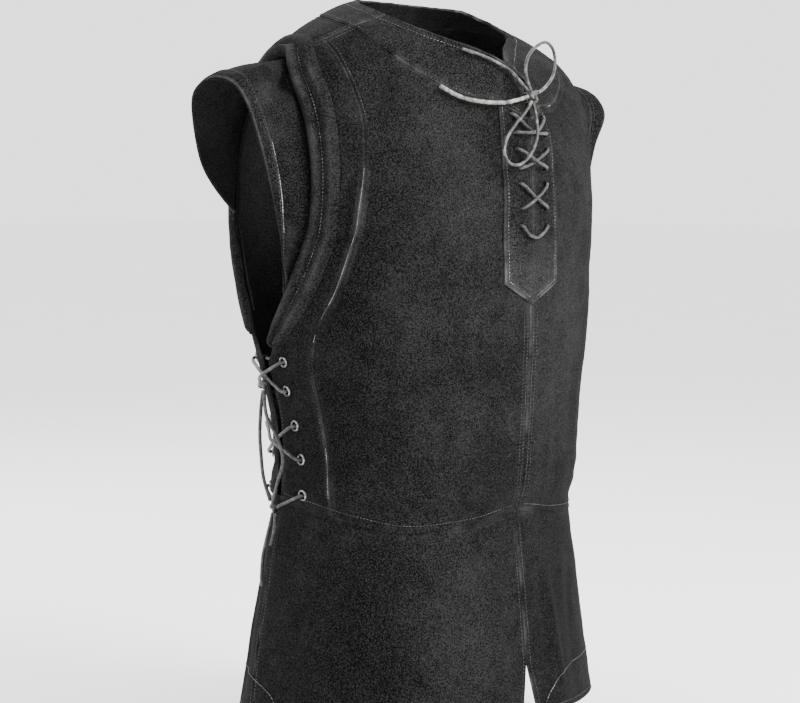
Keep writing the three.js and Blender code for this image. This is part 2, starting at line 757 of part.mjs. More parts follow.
// The lace through the front holes: over the lowest row, crossing outside between the upper pairs of rows
function frontLace() {
  const high = LIFT + TRIM_WALL + LACE / 2 + 0.3;
  const deep = -(WALL + LACE / 2 + 0.5);
  const hole = (row, side, out) => place(side * FRONT_HOLES[row].turn, FRONT_HOLES[row].level, out);
  const strand = (side, over) => {
    const points = [];
    for (const pair of [5, 3, 1]) {
      points.push(hole(pair + 1, side, high), hole(pair + 1, side, deep), hole(pair, side, deep), hole(pair, side, high));
      const middle = (FRONT_HOLES[pair].level + FRONT_HOLES[pair - 1].level) / 2;
      points.push(place(0, middle, over ? high + LACE + 0.4 : high));
      side = -side;
    }
    points.push(hole(0, side, high), hole(0, side, deep));
    points.push(place(side * 5, -30, deep - 2));
    points.push(place(side * 0.2, over ? -17.5 : -27, deep + 2));
    points.push(place(side * 0.1, over ? -17.5 : -27, 1.4));
    return points;
  };
  return [...strand(-1, true).reverse(), place(0, -211, high), ...strand(1, false)];
}

// The lace of a side opening: a hidden bar at the top row, crossing outside between the pairs of rows below
function sideLace() {
  const high = LACE / 2 + 1.6;
  const deep = -(WALL + LACE / 2 + 1);
  const hole = (row, edge, out) => place(SIDE_ROWS[row][edge], SIDE_ROWS[row].level, out);
  const other = { front: "back", back: "front" };
  const strand = (start, over) => {
    const points = [];
    let edge = start;
    for (const row of [0, 2]) {
      points.push(hole(row, edge, deep), hole(row, edge, high));
      const middle = (SIDE_ROWS[row].level + SIDE_ROWS[row + 1].level) / 2;
      const lift = over ? LACE + 0.4 : 0;
      const quarter = (e, r) => place(lerp(SIDE_ROWS[r][e], SLIT_TURN, 0.5), lerp(SIDE_ROWS[r].level, middle, 0.5), high + lift / 3);
      points.push(quarter(edge, row), place(SLIT_TURN, middle, high + lift));
      edge = other[edge];
      points.push(quarter(edge, row + 1), hole(row + 1, edge, high), hole(row + 1, edge, deep));
    }
    points.push(hole(4, edge, deep), hole(4, edge, high));
    const aside = edge === "front" ? -2.6 : 2.6;
    points.push(place(SLIT_TURN - 2 + aside * 2.2, -468, high + 0.6), place(SLIT_TURN - 2 + aside, -471, 6.5));
    return points;
  };
  return [...strand("front", true).reverse(), place(SLIT_TURN, SIDE_ROWS[0].level, deep), ...strand("back", false)];
}

// A soft knot: a rounded lump
function knot(at, side) {
  const middle = place(side * at.turn, at.level, at.out);
  return new THREE.SphereGeometry(at.size, 8, 6).translate(middle.x, middle.y, middle.z);
}

// The points of a lace whose ends are drawn to the face of the knot that holds them
function tied(points, side, first, last) {
  const seat = (at, next) => {
    const middle = place(side * at.turn, at.level, at.out);
    return next.clone().sub(middle).setLength(at.size + KNOT_GAP).add(middle);
  };
  const made = [...points];
  if (first) made[0] = seat(first, points[0]);
  if (last) made[made.length - 1] = seat(last, points[points.length - 1]);
  return made;
}

// A metal ring round a lacing eyelet
function ring(turn, level) {
  const profile = [
    new THREE.Vector2(RING_IN, 0),
    new THREE.Vector2(RING_OUT, 0),
    new THREE.Vector2((RING_IN + RING_OUT) / 2, 1.3),
    new THREE.Vector2(RING_IN, 0),
  ];
  const made = new THREE.LatheGeometry(profile, 8);
  const foot = place(turn, level, 0.5);
  const outside = place(turn, level, 1.5).sub(foot);
  made.applyQuaternion(new THREE.Quaternion().setFromUnitVectors(new THREE.Vector3(0, 1, 0), outside));
  return made.translate(foot.x, foot.y, foot.z);
}

// Panels
const centre = frontCentre();
const side = frontSide();
const back = backPanel();
const bodiceOut = (grid) => proud(grid.length);
const eyelets = (edge, sign) => SIDE_ROWS.map((r) => ({ turn: sign * r[edge], level: r.level }));
const frontHoles = (sign) => FRONT_HOLES.map((h) => ({ turn: sign * h.turn, level: h.level }));
for (const [name, sign] of [["right", -1], ["left", 1]]) {
  const turned = (grid) => (sign < 0 ? mirrored(grid) : grid);
  const inner = () => -WALL;
  piece(
    "front_centre_" + name,
    punched(wall(turned(centre), inner, bodiceOut(centre)), frontHoles(sign), HOLE),
    LEATHER,
  );
  piece(
    "front_side_" + name,
    punched(wall(turned(side), inner, bodiceOut(side)), eyelets("front", sign), EYELET_HOLE),
    LEATHER,
  );
  const turns = [...waistCentre, ...waistSide.slice(1), SLIT_TURN - 0.05];
  const vent = (turn, level) => {
    const open = Math.max(0, (VENT_TOP - level) / (VENT_TOP - TRUNK[0].at));
    return (0.05 + (open * VENT_HALF) / MM_PER_DEGREE) * Math.max(0, 1 - turn / 30);
  };
  piece("skirt_front_" + name, wall(turned(skirt(turns, vent)), inner, () => 0, flute), LEATHER);
  piece(
    "neckband_front_" + name,
    wall(turned(neckband(neckFront)), inner, () => 0.8),
    SUEDE,
  );
  piece("armhole_band_" + name, wall(turned(armholeBand()), () => LIFT, bandHeight), SUEDE);
  piece(
    "back_" + name,
    punched(wall(turned(back), inner, bodiceOut(back)), eyelets("back", sign), EYELET_HOLE),
    LEATHER,
  );
}
const skirtBackTurns = [SLIT_TURN + 0.05, ...waistBack, 360 - SLIT_TURN - 0.05];
piece("skirt_back", wall(skirt(skirtBackTurns), () => -WALL, () => 0, flute), LEATHER);
piece("neckband_back", wall(neckband(neckBack), () => -WALL, () => 0.8), SUEDE);

// Placket with its slit and holes
const flap = wall(placket(), () => LIFT, () => LIFT + TRIM_WALL);
const slitFlap = geometryOf(solid(flap).subtract(solid(slitWedge())));
piece("placket", punched(slitFlap, [...frontHoles(1), ...frontHoles(-1)], HOLE), SUEDE);

// Shoulder caps with their rim bands
for (const [name, sign] of [["right", -1], ["left", 1]]) {
  piece("cap_" + name, capStrip(sign, 0, 1, 4, -1, 1), LEATHER);
  piece("cap_rim_" + name, capStrip(sign, 1 - RIM_WIDTH, 1, 1, 1 + SEAM, 1 + SEAM + 1.6), SUEDE);
}

// Front lacing and its bow
piece("front_lace", tube(frontLace(), 84, HELD_LACE, 6), LACING);
piece("bow_knot", knot(BOW_KNOT, 1), LACING);
piece("bow_loop_up", tube(tied(route(BOW_LOOP_UP), 1, BOW_KNOT, BOW_KNOT), 16), LACING);
piece("bow_loop_down", tube(tied(route(BOW_LOOP_DOWN), 1, BOW_KNOT, BOW_KNOT), 16), LACING);
piece("bow_end_neck", tube(tied(route(BOW_END_NECK), 1, BOW_KNOT), 10), LACING);
piece("bow_end_front", tube(tied(route(BOW_END_FRONT), 1, BOW_KNOT), 10), LACING);

// Side lacing on both sides
for (const [name, sign] of [["right", -1], ["left", 1]]) {
  for (const [i, row] of SIDE_ROWS.entries()) {
    piece("eyelet_front_" + name + "_" + (i + 1), ring(sign * row.front, row.level), METAL);
    piece("eyelet_back_" + name + "_" + (i + 1), ring(sign * row.back, row.level), METAL);
  }
  const lace = sideLace().map((p) => new THREE.Vector3(sign * p.x, p.y, p.z));
  const held = (rows) => tied(route(rows, sign), sign, UPPER_KNOT, LOWER_KNOT);
  const free = (rows) => tied(route(rows, sign), sign, LOWER_KNOT);
  piece("side_lace_" + name, tube(tied(lace, sign, LOWER_KNOT, LOWER_KNOT), 66, HELD_LACE, 6), LACING);
  piece("upper_knot_" + name, knot(UPPER_KNOT, sign), LACING);
  piece("lower_knot_" + name, knot(LOWER_KNOT, sign), LACING);
  piece("slack_back_" + name, tube(held(SLACK_BACK), 12), LACING);
  piece("slack_front_" + name, tube(held(SLACK_FRONT), 12), LACING);
  piece("end_long_" + name, tube(free(END_LONG), 8), LACING);
  piece("end_short_" + name, tube(free(END_SHORT), 5), LACING);
}

export default vest;
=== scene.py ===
"""Lace-up leather vest: the looks of a worn suede jerkin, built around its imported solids.

Lengths are in millimetres up to the last step, where every mesh and curve is made in metres.
A place on the garment is a turn from the front centre, in degrees, the wearer's left positive, and a level.
"""

from __future__ import annotations

import logging
import math
from dataclasses import dataclass, field
from enum import Enum
from typing import Callable, Sequence

import bpy
import numpy as np
from mathutils import Matrix, Vector


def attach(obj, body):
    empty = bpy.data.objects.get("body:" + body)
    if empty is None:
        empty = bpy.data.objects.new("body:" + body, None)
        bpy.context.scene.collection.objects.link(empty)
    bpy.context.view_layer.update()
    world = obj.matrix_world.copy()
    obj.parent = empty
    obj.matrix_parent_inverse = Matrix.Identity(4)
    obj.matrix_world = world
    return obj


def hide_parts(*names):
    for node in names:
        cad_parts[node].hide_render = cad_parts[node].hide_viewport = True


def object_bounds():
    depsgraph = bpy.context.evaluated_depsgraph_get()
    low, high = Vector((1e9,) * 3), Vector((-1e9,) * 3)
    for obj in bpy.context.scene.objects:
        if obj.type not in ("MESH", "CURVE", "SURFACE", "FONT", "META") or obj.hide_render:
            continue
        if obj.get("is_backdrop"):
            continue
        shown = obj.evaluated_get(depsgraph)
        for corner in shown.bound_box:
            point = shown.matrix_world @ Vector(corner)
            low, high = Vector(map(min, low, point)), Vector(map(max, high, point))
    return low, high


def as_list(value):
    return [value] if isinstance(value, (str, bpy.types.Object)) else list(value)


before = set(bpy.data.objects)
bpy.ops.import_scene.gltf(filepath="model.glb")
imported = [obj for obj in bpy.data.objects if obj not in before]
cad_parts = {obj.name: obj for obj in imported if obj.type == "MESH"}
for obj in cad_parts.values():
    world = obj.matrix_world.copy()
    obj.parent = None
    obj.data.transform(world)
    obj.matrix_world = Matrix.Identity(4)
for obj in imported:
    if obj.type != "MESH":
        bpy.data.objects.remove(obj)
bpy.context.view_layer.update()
LOG = logging.getLogger("vest")
MM = 0.001
BODY = "root"
Array = np.ndarray


class Side(Enum):
    """The wearer's side that a piece belongs to, with its sign along X."""

    RIGHT = -1
    LEFT = 1

    @property
    def word(self) -> str:
        """The side's word in the pieces' names."""
        return self.name.lower()


class Table:
    """A short table with named columns, read smoothly between its rows."""

    def __init__(self, columns: str, *rows: Sequence[float]) -> None:
        """Keep the rows.

        Args:
            columns: the columns' names, the first one being what the table is read by.
            rows: the rows, in rising order of the first column.
        """
        data = np.array(rows, float)
        self.at = data[:, 0]
        self.columns = {name: data[:, i] for i, name in enumerate(columns.split())}

    def read(self, at: Array, column: str, even: bool = False) -> Array:
        """Read a column at the given places.

        Args:
            at: where to read, clamped to the table's ends.
            column: the column's name.
            even: whether the column is level at both ends.

        Returns:
            The smooth values.
        """
        x, y = self.at, self.columns[column]
        at = np.clip(at, x[0], x[-1])
        slope = np.empty(len(x))
        slope[1:-1] = (y[2:] - y[:-2]) / (x[2:] - x[:-2])
        slope[0] = 0 if even else (y[1] - y[0]) / (x[1] - x[0])
        slope[-1] = 0 if even else (y[-1] - y[-2]) / (x[-1] - x[-2])
        i = np.clip(np.searchsorted(x, at, side="right") - 1, 0, len(x) - 2)
        h = x[i + 1] - x[i]
        t = (at - x[i]) / h
        start = (2 * t**3 - 3 * t**2 + 1) * y[i] + (t**3 - 2 * t**2 + t) * h * slope[i]
        return start + (3 * t**2 - 2 * t**3) * y[i + 1] + (t**3 - t**2) * h * slope[i + 1]


def smooth(low: float, high: float, value: Array) -> Array:
    """A soft step from 0 at low to 1 at high."""
    t = np.clip((value - low) / (high - low), 0, 1)
    return t * t * (3 - 2 * t)


def hill(value: Array, middle: float, width: float) -> Array:
    """A soft hill of height 1 round a middle."""
    return np.exp(-(((value - middle) / width) ** 2))


@dataclass(frozen=True)
class Sizes:
    """Sizes that the whole garment shares, in millimetres.

    slit_turn, slit_half, slit_open and sharp are in degrees, degree is the millimetres in a degree of turn, and the
    last two set how much less scuffed and how much paler the leather's inside is.
    """

    wall: float = 2.2
    seam: float = 0.3
    lift: float = 0.2
    trim_wall: float = 2.3
    degree: float = 3.3
    slit_turn: float = 112.0
    slit_half: float = 3.0
    slit_end: float = -213.0
    slit_open: float = 2.4
    vent_top: float = -627.0
    vent_half: float = 11.0
    hem: float = -683.0
    lace: float = 4.0
    lace_drawn: float = 3.5
    grid: float = 3.4
    sharp: float = 48.0
    wear_inside: float = 0.6
    paler_inside: float = 0.4


SIZE = Sizes()


class Garment:
    """The garment's outer surface: trunk sections, and a curved roof up to the neck edge."""

    top = -200.0
    corner = 0.02
    trunk_rows = Table(
        "at half front back",
        (-683, 197, -107, 182), (-620, 189, -100, 174), (-560, 181, -94, 165), (-500, 173, -89, 155),
        (-478, 170, -88, 149), (-455, 174, -95, 150), (-420, 174, -98, 148), (-380, 177, -100, 152),
        (-340, 185, -102, 161), (-300, 193, -104, 171), (-250, 200, -105, 181), (-200, 204, -104, 185),
    )
    roof_right = Table(
        "at neck_x neck_y neck_z rise out_x out_y out_z",
        (0, 0, -97, -65, 45, 0, -4, -45), (15, 25, -92, -48, 52, 9, -4, -46),
        (30, 50, -81, -36, 62, 18, -4, -46), (60, 88, -50, -20, 110, 55, -8, -42),
        (90, 99, 0, 0, 165, 104, 14, -30), (125, 80, 48, 14, 120, 75, 50, -22),
        (155, 42, 66, 18, 90, 35, 50, -30), (180, 0, 71, 19, 80, 0, 45, -38),
    )
    roof_left = Table(
        "at neck_x neck_y neck_z rise out_x out_y out_z",
        (0, 0, -97, -65, 45, 0, -4, -45), (5, 8, -93, -62, 47, 5, -8, -45),
        (15, 13, -76, -54, 54, 21, -20, -44), (30, 24, -54, -42, 72, 50, -38, -50),
        (60, 57, -24, -27, 125, 104, -40, -26), (90, 95, 4, -9, 175, 112, 10, -18),
        (125, 80, 48, 14, 120, 75, 50, -22), (155, 42, 66, 18, 90, 35, 50, -30),
        (180, 0, 71, 19, 80, 0, 45, -38),
    )
    waist = Table(
        "at level",
        (0, -478), (20, -486), (46, -489), (69, -478), (90, -468), (112, -463), (145, -468), (180, -472),
    )
    neck = Table(
        "at level",
        (0, -49), (10, -50.5), (22, -55.8), (32, -61), (42, -59.8), (52, -55), (62, -49), (74, -39),
        (86, -32), (125, -32), (180, -35),
    )
    hem = Table("at level", (0, -678), (30, -683), (100, -679), (180, -683))

    def trunk(self, turn: Array, z: Array) -> Array:
        """The points of the trunk sections.

        Args:
            turn: the signed turns of the places.
            z: the heights.

        Returns:
            The points.
        """
        half = self.trunk_rows.read(z, "half")
        front = self.trunk_rows.read(z, "front")
        back = self.trunk_rows.read(z, "back")
        a = np.radians(turn)
        across = (np.sin(a) + self.corner * np.sin(3 * a)) / (1 - self.corner)
        along = (np.cos(a) - self.corner * np.cos(3 * a)) / (1 - self.corner)
        return np.stack([half * across, (front + back) / 2 - (back - front) / 2 * along, z + 0 * a], -1)

    def surface(self, turn: Array, level: Array) -> Array:
        """The points of the outer surface.

        Args:
            turn: the signed turns of the places.
            level: the levels of the places.

        Returns:
            The points.
        """
        turn = (np.asarray(turn, float) + 180) % 360 - 180
        level = np.asarray(level, float)
        turn, level = np.broadcast_arrays(turn, level)
        low = self.trunk(turn, np.minimum(level, self.top))
        side = np.where(turn < 0, -1.0, 1.0)
        at = np.abs(turn)
        start = self.trunk(turn, np.full(turn.shape, self.top))

        def roof(column: str, even: bool = True) -> Array:
            """A column of the roof's tables, read on each place's own side."""
            right, left = self.roof_right.read(at, column, even), self.roof_left.read(at, column, even)
            return np.where(turn < 0, right, left)

        end = np.stack([side * roof("neck_x", False), roof("neck_y"), roof("neck_z")], -1)
        up = start + np.stack([0 * at, 0 * at, roof("rise")], -1)
        out = end + np.stack([side * roof("out_x", False), roof("out_y"), roof("out_z")], -1)
        v = np.clip(1 - level / self.top, 0, 1)[..., None]
        w = 1 - v
        high = w**3 * start + 3 * w * w * v * up + 3 * w * v * v * out + v**3 * end
        return np.where((level <= self.top)[..., None], low, high)

    def normal(self, turn: Array, level: Array) -> Array:
        """The surface's outward normals.

        Args:
            turn: the signed turns of the places.
            level: the levels of the places.

        Returns:
            The directions, each of length 1.
        """
        level = np.asarray(level, float)
        across = self.surface(turn + 0.5, level) - self.surface(turn - 0.5, level)
        along = self.surface(turn, np.minimum(level + 1, 0)) - self.surface(turn, level - 1)
        made = np.cross(across, along)
        return made / np.linalg.norm(made, axis=-1, keepdims=True)

    def place(self, turn: Array, level: Array, out: Array = 0.0) -> Array:
        """The surface's points, moved out along its normals.

        Args:
            turn: the signed turns of the places.
            level: the levels of the places.
            out: how far out of the surface the points lie.

        Returns:
            The points.
        """
        turn, level, out = np.broadcast_arrays(
            np.asarray(turn, float), np.asarray(level, float), np.asarray(out, float)
        )
        return self.surface(turn, level) + self.normal(turn, level) * out[..., None]

    def waist_at(self, turn: Array) -> Array:
        """The waist seam's level."""
        return self.waist.read(self.folded(turn), "level", True)

    def neck_at(self, turn: Array) -> Array:
        """The neckband seam's level."""
        return self.neck.read(self.folded(turn), "level", True)

    def hem_at(self, turn: Array) -> Array:
        """The hem's level."""
        return self.hem.read(self.folded(turn), "level", True)

    @staticmethod
    def folded(turn: Array) -> Array:
        """The unsigned turn from the front centre."""
        return np.abs((np.asarray(turn, float) + 180) % 360 - 180)


GARMENT = Garment()


class SoftNoise:
    """Smooth uneven values over the garment's surface, the same in each run."""

    def __init__(self, seed: int, scale: float) -> None:
        """Draw the lattice.

        Args:
            seed: the seed of the draw.
            scale: the size of one lump, in millimetres.
        """
        self.scale = scale
        self.lattice = np.random.default_rng(seed).uniform(-1, 1, (256, 256))

    def at(self, x: Array, y: Array) -> Array:
        """The values at places on the plane, in millimetres.

        Args:
            x: the first coordinate.
            y: the second coordinate.

        Returns:
            The noise's values.
        """
        u, v = x / self.scale, y / self.scale
        i, j = np.floor(u).astype(int), np.floor(v).astype(int)
        s, t = u - i, v - j
        s, t = s * s * (3 - 2 * s), t * t * (3 - 2 * t)
        get = lambda a, b: self.lattice[(i + a) % 256, (j + b) % 256]
        low = get(0, 0) * (1 - s) + get(1, 0) * s
        high = get(0, 1) * (1 - s) + get(1, 1) * s
        return low * (1 - t) + high * t


@dataclass(frozen=True)
class Crease:
    """A soft trough (depth below 0) or ridge between two places of the surface."""

    turn: float
    level: float
    to_turn: float
    to_level: float
    width: float
    depth: float
    bend: float = 0.0

    def height(self, turn: Array, level: Array) -> Array:
        """How far the crease moves the surface at the given places.

        Args:
            turn: the signed turns of the places.
            level: the levels of the places.

        Returns:
            The heights.
        """
        ax, ay = self.turn * SIZE.degree, self.level
        bx, by = self.to_turn * SIZE.degree, self.to_level
        length = math.hypot(bx - ax, by - ay)
        dx, dy = (bx - ax) / length, (by - ay) / length
        x, y = turn * SIZE.degree - ax, level - ay
        along = (x * dx + y * dy) / length
        aside = y * dx - x * dy - self.bend * np.sin(np.pi * np.clip(along, 0, 1))
        taper = smooth(-0.08, 0.3, along) * (1 - smooth(0.7, 1.08, along))
        return self.depth * taper * np.exp(-((aside / self.width) ** 2))


class Relief:
    """The folds, creases and unevenness of the worn leather, in millimetres out of the surface."""

    creases = (
        # hollows beside the armhole bands, on both sides
        Crease(-59.5, -150, -62, -225, 7, -2.6, -4), Crease(-62, -205, -76, -300, 8, -3.4, 5),
        Crease(59.5, -150, 62, -228, 7, -2.4, 4), Crease(62, -205, 77, -302, 8, -3.0, -5),
        # diagonal drags from the armholes over the chest
        Crease(-55, -215, -30, -330, 15, -1.6, 10), Crease(-50, -180, -26, -250, 13, 1.3, 6),
        Crease(54, -220, 28, -335, 16, -1.5, -9), Crease(50, -176, 27, -252, 13, 1.2, -7),
        Crease(-70, -318, -42, -372, 9, -1.5, 4), Crease(71, -322, 44, -380, 9, -1.4, -5),
        # cross folds above the waist
        Crease(-74, -405, -40, -432, 8, -1.9, 5), Crease(-68, -440, -22, -452, 7, -1.5, -3),
        Crease(-36, -398, -12, -415, 9, 1.1, 3), Crease(72, -408, 42, -430, 8, -1.7, -4),
        Crease(66, -443, 25, -455, 7, -1.4, 3), Crease(34, -392, 8, -420, 9, 1.0, -3),
        # upright drapes of the front
        Crease(-16, -290, -19, -455, 10, -1.2, 4), Crease(15, -296, 18, -460, 10, -1.1, -4),
        Crease(-31, -330, -36, -470, 14, 1.5, 6), Crease(33, -330, 37, -470, 14, 1.4, -6),
        # shoulders
        Crease(-62, -62, -46, -150, 10, 1.3, 5), Crease(62, -62, 47, -150, 10, 1.2, -5),
        Crease(-78, -70, -60, -140, 6, -1.0, 3), Crease(78, -72, 61, -138, 6, -1.0, -3),
        # beside the laced side openings
        Crease(-88, -345, -101, -372, 7, -1.6, 2), Crease(-85, -400, -104, -410, 7, -1.7, 3),
        Crease(-86, -436, -106, -446, 7, -1.6, -2), Crease(88, -350, 101, -374, 7, -1.5, -2),
        Crease(85, -403, 104, -411, 7, -1.6, -3), Crease(86, -438, 106, -447, 7, -1.5, 2),
        # back: shoulder blades, drags and waist folds
        Crease(-150, -120, -138, -300, 26, 3.2, 6), Crease(150, -120, 138, -300, 26, 3.0, -6),
        Crease(-132, -210, -158, -330, 13, -2.0, 7), Crease(133, -214, 157, -335, 13, -1.9, -7),
        Crease(-172, -90, -165, -230, 12, -1.3, 5), Crease(170, -150, 164, -280, 12, -1.4, -5),
        Crease(-128, -392, -165, -420, 9, -2.4, 5), Crease(-120, -430, -158, -452, 8, -2.0, -3),
        Crease(129, -396, 164, -424, 9, -2.2, -5), Crease(121, -434, 160, -455, 8, -1.9, 3),
        # skirt
        Crease(-84, -500, -94, -672, 9, -2.4, 4), Crease(84, -502, 93, -674, 9, -2.2, -4),
        Crease(-60, -520, -66, -680, 12, 2.0, 5), Crease(61, -522, 67, -680, 12, 1.9, -5),
        Crease(-30, -515, -26, -676, 13, -1.7, 5), Crease(31, -516, 27, -676, 13, -1.6, -5),
        Crease(-52, -497, -34, -540, 8, -1.1, 3), Crease(-12, -500, -9, -660, 8, 1.6, -3),
        Crease(7, -520, 9, -640, 6, -1.8, 2), Crease(13, -530, 16, -668, 7, 2.2, -2),
        Crease(-124, -500, -130, -676, 12, -2.4, 4), Crease(-156, -498, -160, -678, 14, -2.0, 5),
        Crease(125, -500, 131, -676, 12, -2.3, -4), Crease(154, -498, 158, -678, 14, -2.2, -5),
        Crease(177, -505, 175, -678, 13, 2.2, 4),
    )
    flutes = Table(
        "at spread height",
        (-140, 11, 6), (-94, 8, -5), (-46, 12, 4), (-14, 9, 4), (12, 8, 5), (50, 12, 4), (92, 8, -4),
        (136, 12, 5), (172, 12, 6),
    )

    def __init__(self) -> None:
        """Draw the unevenness of the hide."""
        self.broad = SoftNoise(11, 46)
        self.small = SoftNoise(12, 13)
        self.grain = SoftNoise(13, 5)

    def at(self, turn: Array, level: Array) -> Array:
        """How far the leather stands out of the plain surface, in millimetres.

        Args:
            turn: the signed turns of the places.
            level: the levels of the places.

        Returns:
            The heights.
        """
        signed = (np.asarray(turn, float) + 180) % 360 - 180
        x, y = signed * SIZE.degree, level
        total = 0.85 * self.broad.at(x, y) + 0.3 * self.small.at(x, y) + 0.1 * self.grain.at(x, y)
        for crease in self.creases:
            total = total + crease.height(signed, level)
        return total + self.skirt(signed, level)

    def skirt(self, turn: Array, level: Array) -> Array:
        """The skirt's soft flutes, which grow towards the hem.

        Args:
            turn: the signed turns of the places.
            level: the levels of the places.

        Returns:
            The heights.
        """
        top = GARMENT.waist_at(turn)
        drop = np.clip((top - level) / (top - SIZE.hem), 0, None) ** 1.5
        rows = zip(self.flutes.at, self.flutes.columns["spread"], self.flutes.columns["height"])
        return sum(height * hill(turn, middle, spread) for middle, spread, height in rows) * drop


RELIEF = Relief()


class Seam:
    """A smooth seam line through named places of the surface, read by its share of length."""

    def __init__(self, *rows: tuple[float, float]) -> None:
        """Trace the line.

        Args:
            rows: turn and level of each place.
        """
        p = np.array(rows, float) * (SIZE.degree, 1)
        p = np.vstack([p[:1], p, p[-1:]])
        t = np.linspace(0, 1, 41)[:-1, None]
        parts = []
        for a, b, c, d in zip(p[:-3], p[1:-2], p[2:-1], p[3:]):
            v0, v1 = (c - a) / 2, (d - b) / 2
            parts.append(
                (2 * b - 2 * c + v0 + v1) * t**3 + (-3 * b + 3 * c - 2 * v0 - v1) * t**2 + v0 * t + b
            )
        self.points = np.vstack([*parts, p[-1:]])
        step = np.linalg.norm(np.diff(self.points, axis=0), axis=1)
        self.length = step.sum()
        self.share = np.concatenate([[0], np.cumsum(step)]) / self.length

    def at(self, share: Array, aside: Array = 0.0) -> Array:
        """Turn and level at shares of the length, moved aside to the left of the way the line runs.

        Args:
            share: the share of the way, from 0 to 1.
            aside: how far beside it, in millimetres.

        Returns:
            The turns and levels.
        """
        share = np.asarray(share, float)
        read = lambda s: np.stack([np.interp(s, self.share, self.points[:, k]) for k in (0, 1)], -1)
        way = read(np.clip(share + 0.004, 0, 1)) - read(np.clip(share - 0.004, 0, 1))
        way = way / np.linalg.norm(way, axis=-1, keepdims=True)
        left = np.stack([-way[..., 1], way[..., 0]], -1)
        return (read(share) + left * np.asarray(aside)[..., None]) / (SIZE.degree, 1)


PRINCESS = Seam(
    (87, -62), (76.5, -79), (63, -119), (57.5, -160), (58, -196), (61.5, -224), (68, -262), (75, -289),
    (82, -324), (83.4, -345), (83, -383), (81, -420), (78.5, -478),
)
ARM_FRONT = Seam(
    (95, -95), (87.5, -118), (79.5, -143), (75, -170), (74.5, -195), (78, -221), (83, -246), (88.5, -269),
    (97.5, -298), (107, -328),
)
ARM_BACK = Seam(
    (95, -95), (108, -97), (118, -112), (123, -138), (123, -168), (120, -200), (117, -240), (116, -285),
    (115.5, -328),
)
SHOULDER = Seam((86, -32), (87, -62), (95, -95))


def local_frame(turn: float, level: float) -> tuple[Array, Array, Array]:
    """The directions out, along and up at a place of the surface.

    Args:
        turn: the place's signed turn.
        level: its level.

    Returns:
        The three directions, each of length 1.
    """
    out = GARMENT.normal(np.float64(turn), np.float64(level))
    across = np.cross(out, (0, 0, 1))
    across /= np.linalg.norm(across)
    return out, across, np.cross(out, across)


def on_leather(turn: Array, level: Array, out: Array) -> Array:
    """Points at a distance out of the creased leather."""
    return GARMENT.place(turn, level, out + RELIEF.at(turn, level))


def new_object(
    name: str, points: Array, faces: Sequence, values: dict[str, Array] | None = None
) -> bpy.types.Object:
    """Make a mesh object from points in millimetres.

    Args:
        name: the object's name.
        points: the points.
        faces: the faces, as tuples of point numbers.
        values: named values for each point, kept as mesh attributes.

    Returns:
        The object, linked to the scene.
    """
    mesh = bpy.data.meshes.new(name)
    faces = faces if isinstance(faces, list) else faces.tolist()
    mesh.from_pydata((np.asarray(points) * MM).tolist(), [], faces)
    for key, data in (values or {}).items():
        kept = mesh.attributes.new(key, "FLOAT", "POINT")
        kept.data.foreach_set("value", np.asarray(data, np.float32).ravel())
    mesh.update()
    made = bpy.data.objects.new(name, mesh)
    bpy.context.scene.collection.objects.link(made)
    return made


def leather_shell(name: str, inner: Array, outer: Array, wear: Array, shade: Array) -> bpy.types.Object:
    """Make a closed leather wall from an inner and an outer grid of points.

    Args:
        name: the object's name.
        inner: the inner grid, rows by columns by 3.
        outer: the outer grid.
        wear: how scuffed each point is, from 0 to 1.
        shade: how much lighter or darker each point is painted: painted light and shade mixed with the leather's
            own tone.

    Returns:
        The object.
    """
    rows, columns = outer.shape[:2]
    number = np.arange(rows * columns).reshape(rows, columns)
    a, b, c, d = number[:-1, :-1], number[1:, :-1], number[1:, 1:], number[:-1, 1:]
    quads = np.stack([a, b, c, d], -1).reshape(-1, 4)
    far = rows * columns
    loop = np.concatenate([number[0, ::-1], number[1:, 0], number[-1, 1:], number[-2:0:-1, -1]])
    after = np.roll(loop, -1)
    rim = np.stack([after, loop, loop + far, after + far], -1)
    faces = np.vstack([quads, quads[:, ::-1] + far, rim])
    points = np.vstack([outer.reshape(-1, 3), inner.reshape(-1, 3)])
    corner = points[faces]
    volume = np.einsum("ij,ij->i", corner[:, 0], np.cross(corner[:, 1], corner[:, 2])).sum()
    if volume < 0:
        faces = faces[:, ::-1]
    wear, shade = wear.ravel(), shade.ravel()
    values = {
        "wear": np.concatenate([wear, SIZE.wear_inside * wear]),
        # the outer face carries painted light and shade with the leather's tone; the inside is paler leather
        "shade": np.concatenate([shade, shade + SIZE.paler_inside]),
    }
    made = new_object(name, points, faces, values)
    made.data.shade_smooth()
    made.data.set_sharp_from_angle(angle=math.radians(SIZE.sharp))
    return made


def steps(length: float, edge: Sequence[float] = (0.7, 1.5, 2.6, 4.0, 5.4, 7.2)) -> Array:
    """Shares from 0 to 1 along a length, closer together beside its two ends.

    Args:
        length: the length to divide, in millimetres.
        edge: places close to the ends, in millimetres.

    Returns:
        Shares from 0 to 1.
    """
    if length < 40:
        return np.linspace(0, 1, max(5, round(length / 1.8)))
    middle = np.linspace(edge[-1], length - edge[-1], round((length - 2 * edge[-1]) / SIZE.grid) + 1)
    return np.concatenate([[0], edge[:-1], middle, length - np.array(edge[-2::-1]), [length]]) / length


def patch(top: Array, bottom: Array, left: Array, right: Array, s: Array, t: Array) -> Array:
    """The grid of turn and level between four edges that share corners.

    Args:
        top: its top edge.
        bottom: its bottom edge.
        left: its left edge.
        right: its right edge.
        s: the share across of each column.
        t: the share along of each row.

    Returns:
        The grid.
    """
    s, t = s[None, :, None], t[:, None, None]
    between = top[None] * (1 - t) + bottom[None] * t + left[:, None] * (1 - s) + right[:, None] * s
    corners = (top[0] * (1 - s) + top[-1] * s) * (1 - t) + (bottom[0] * (1 - s) + bottom[-1] * s) * t
    return between - corners


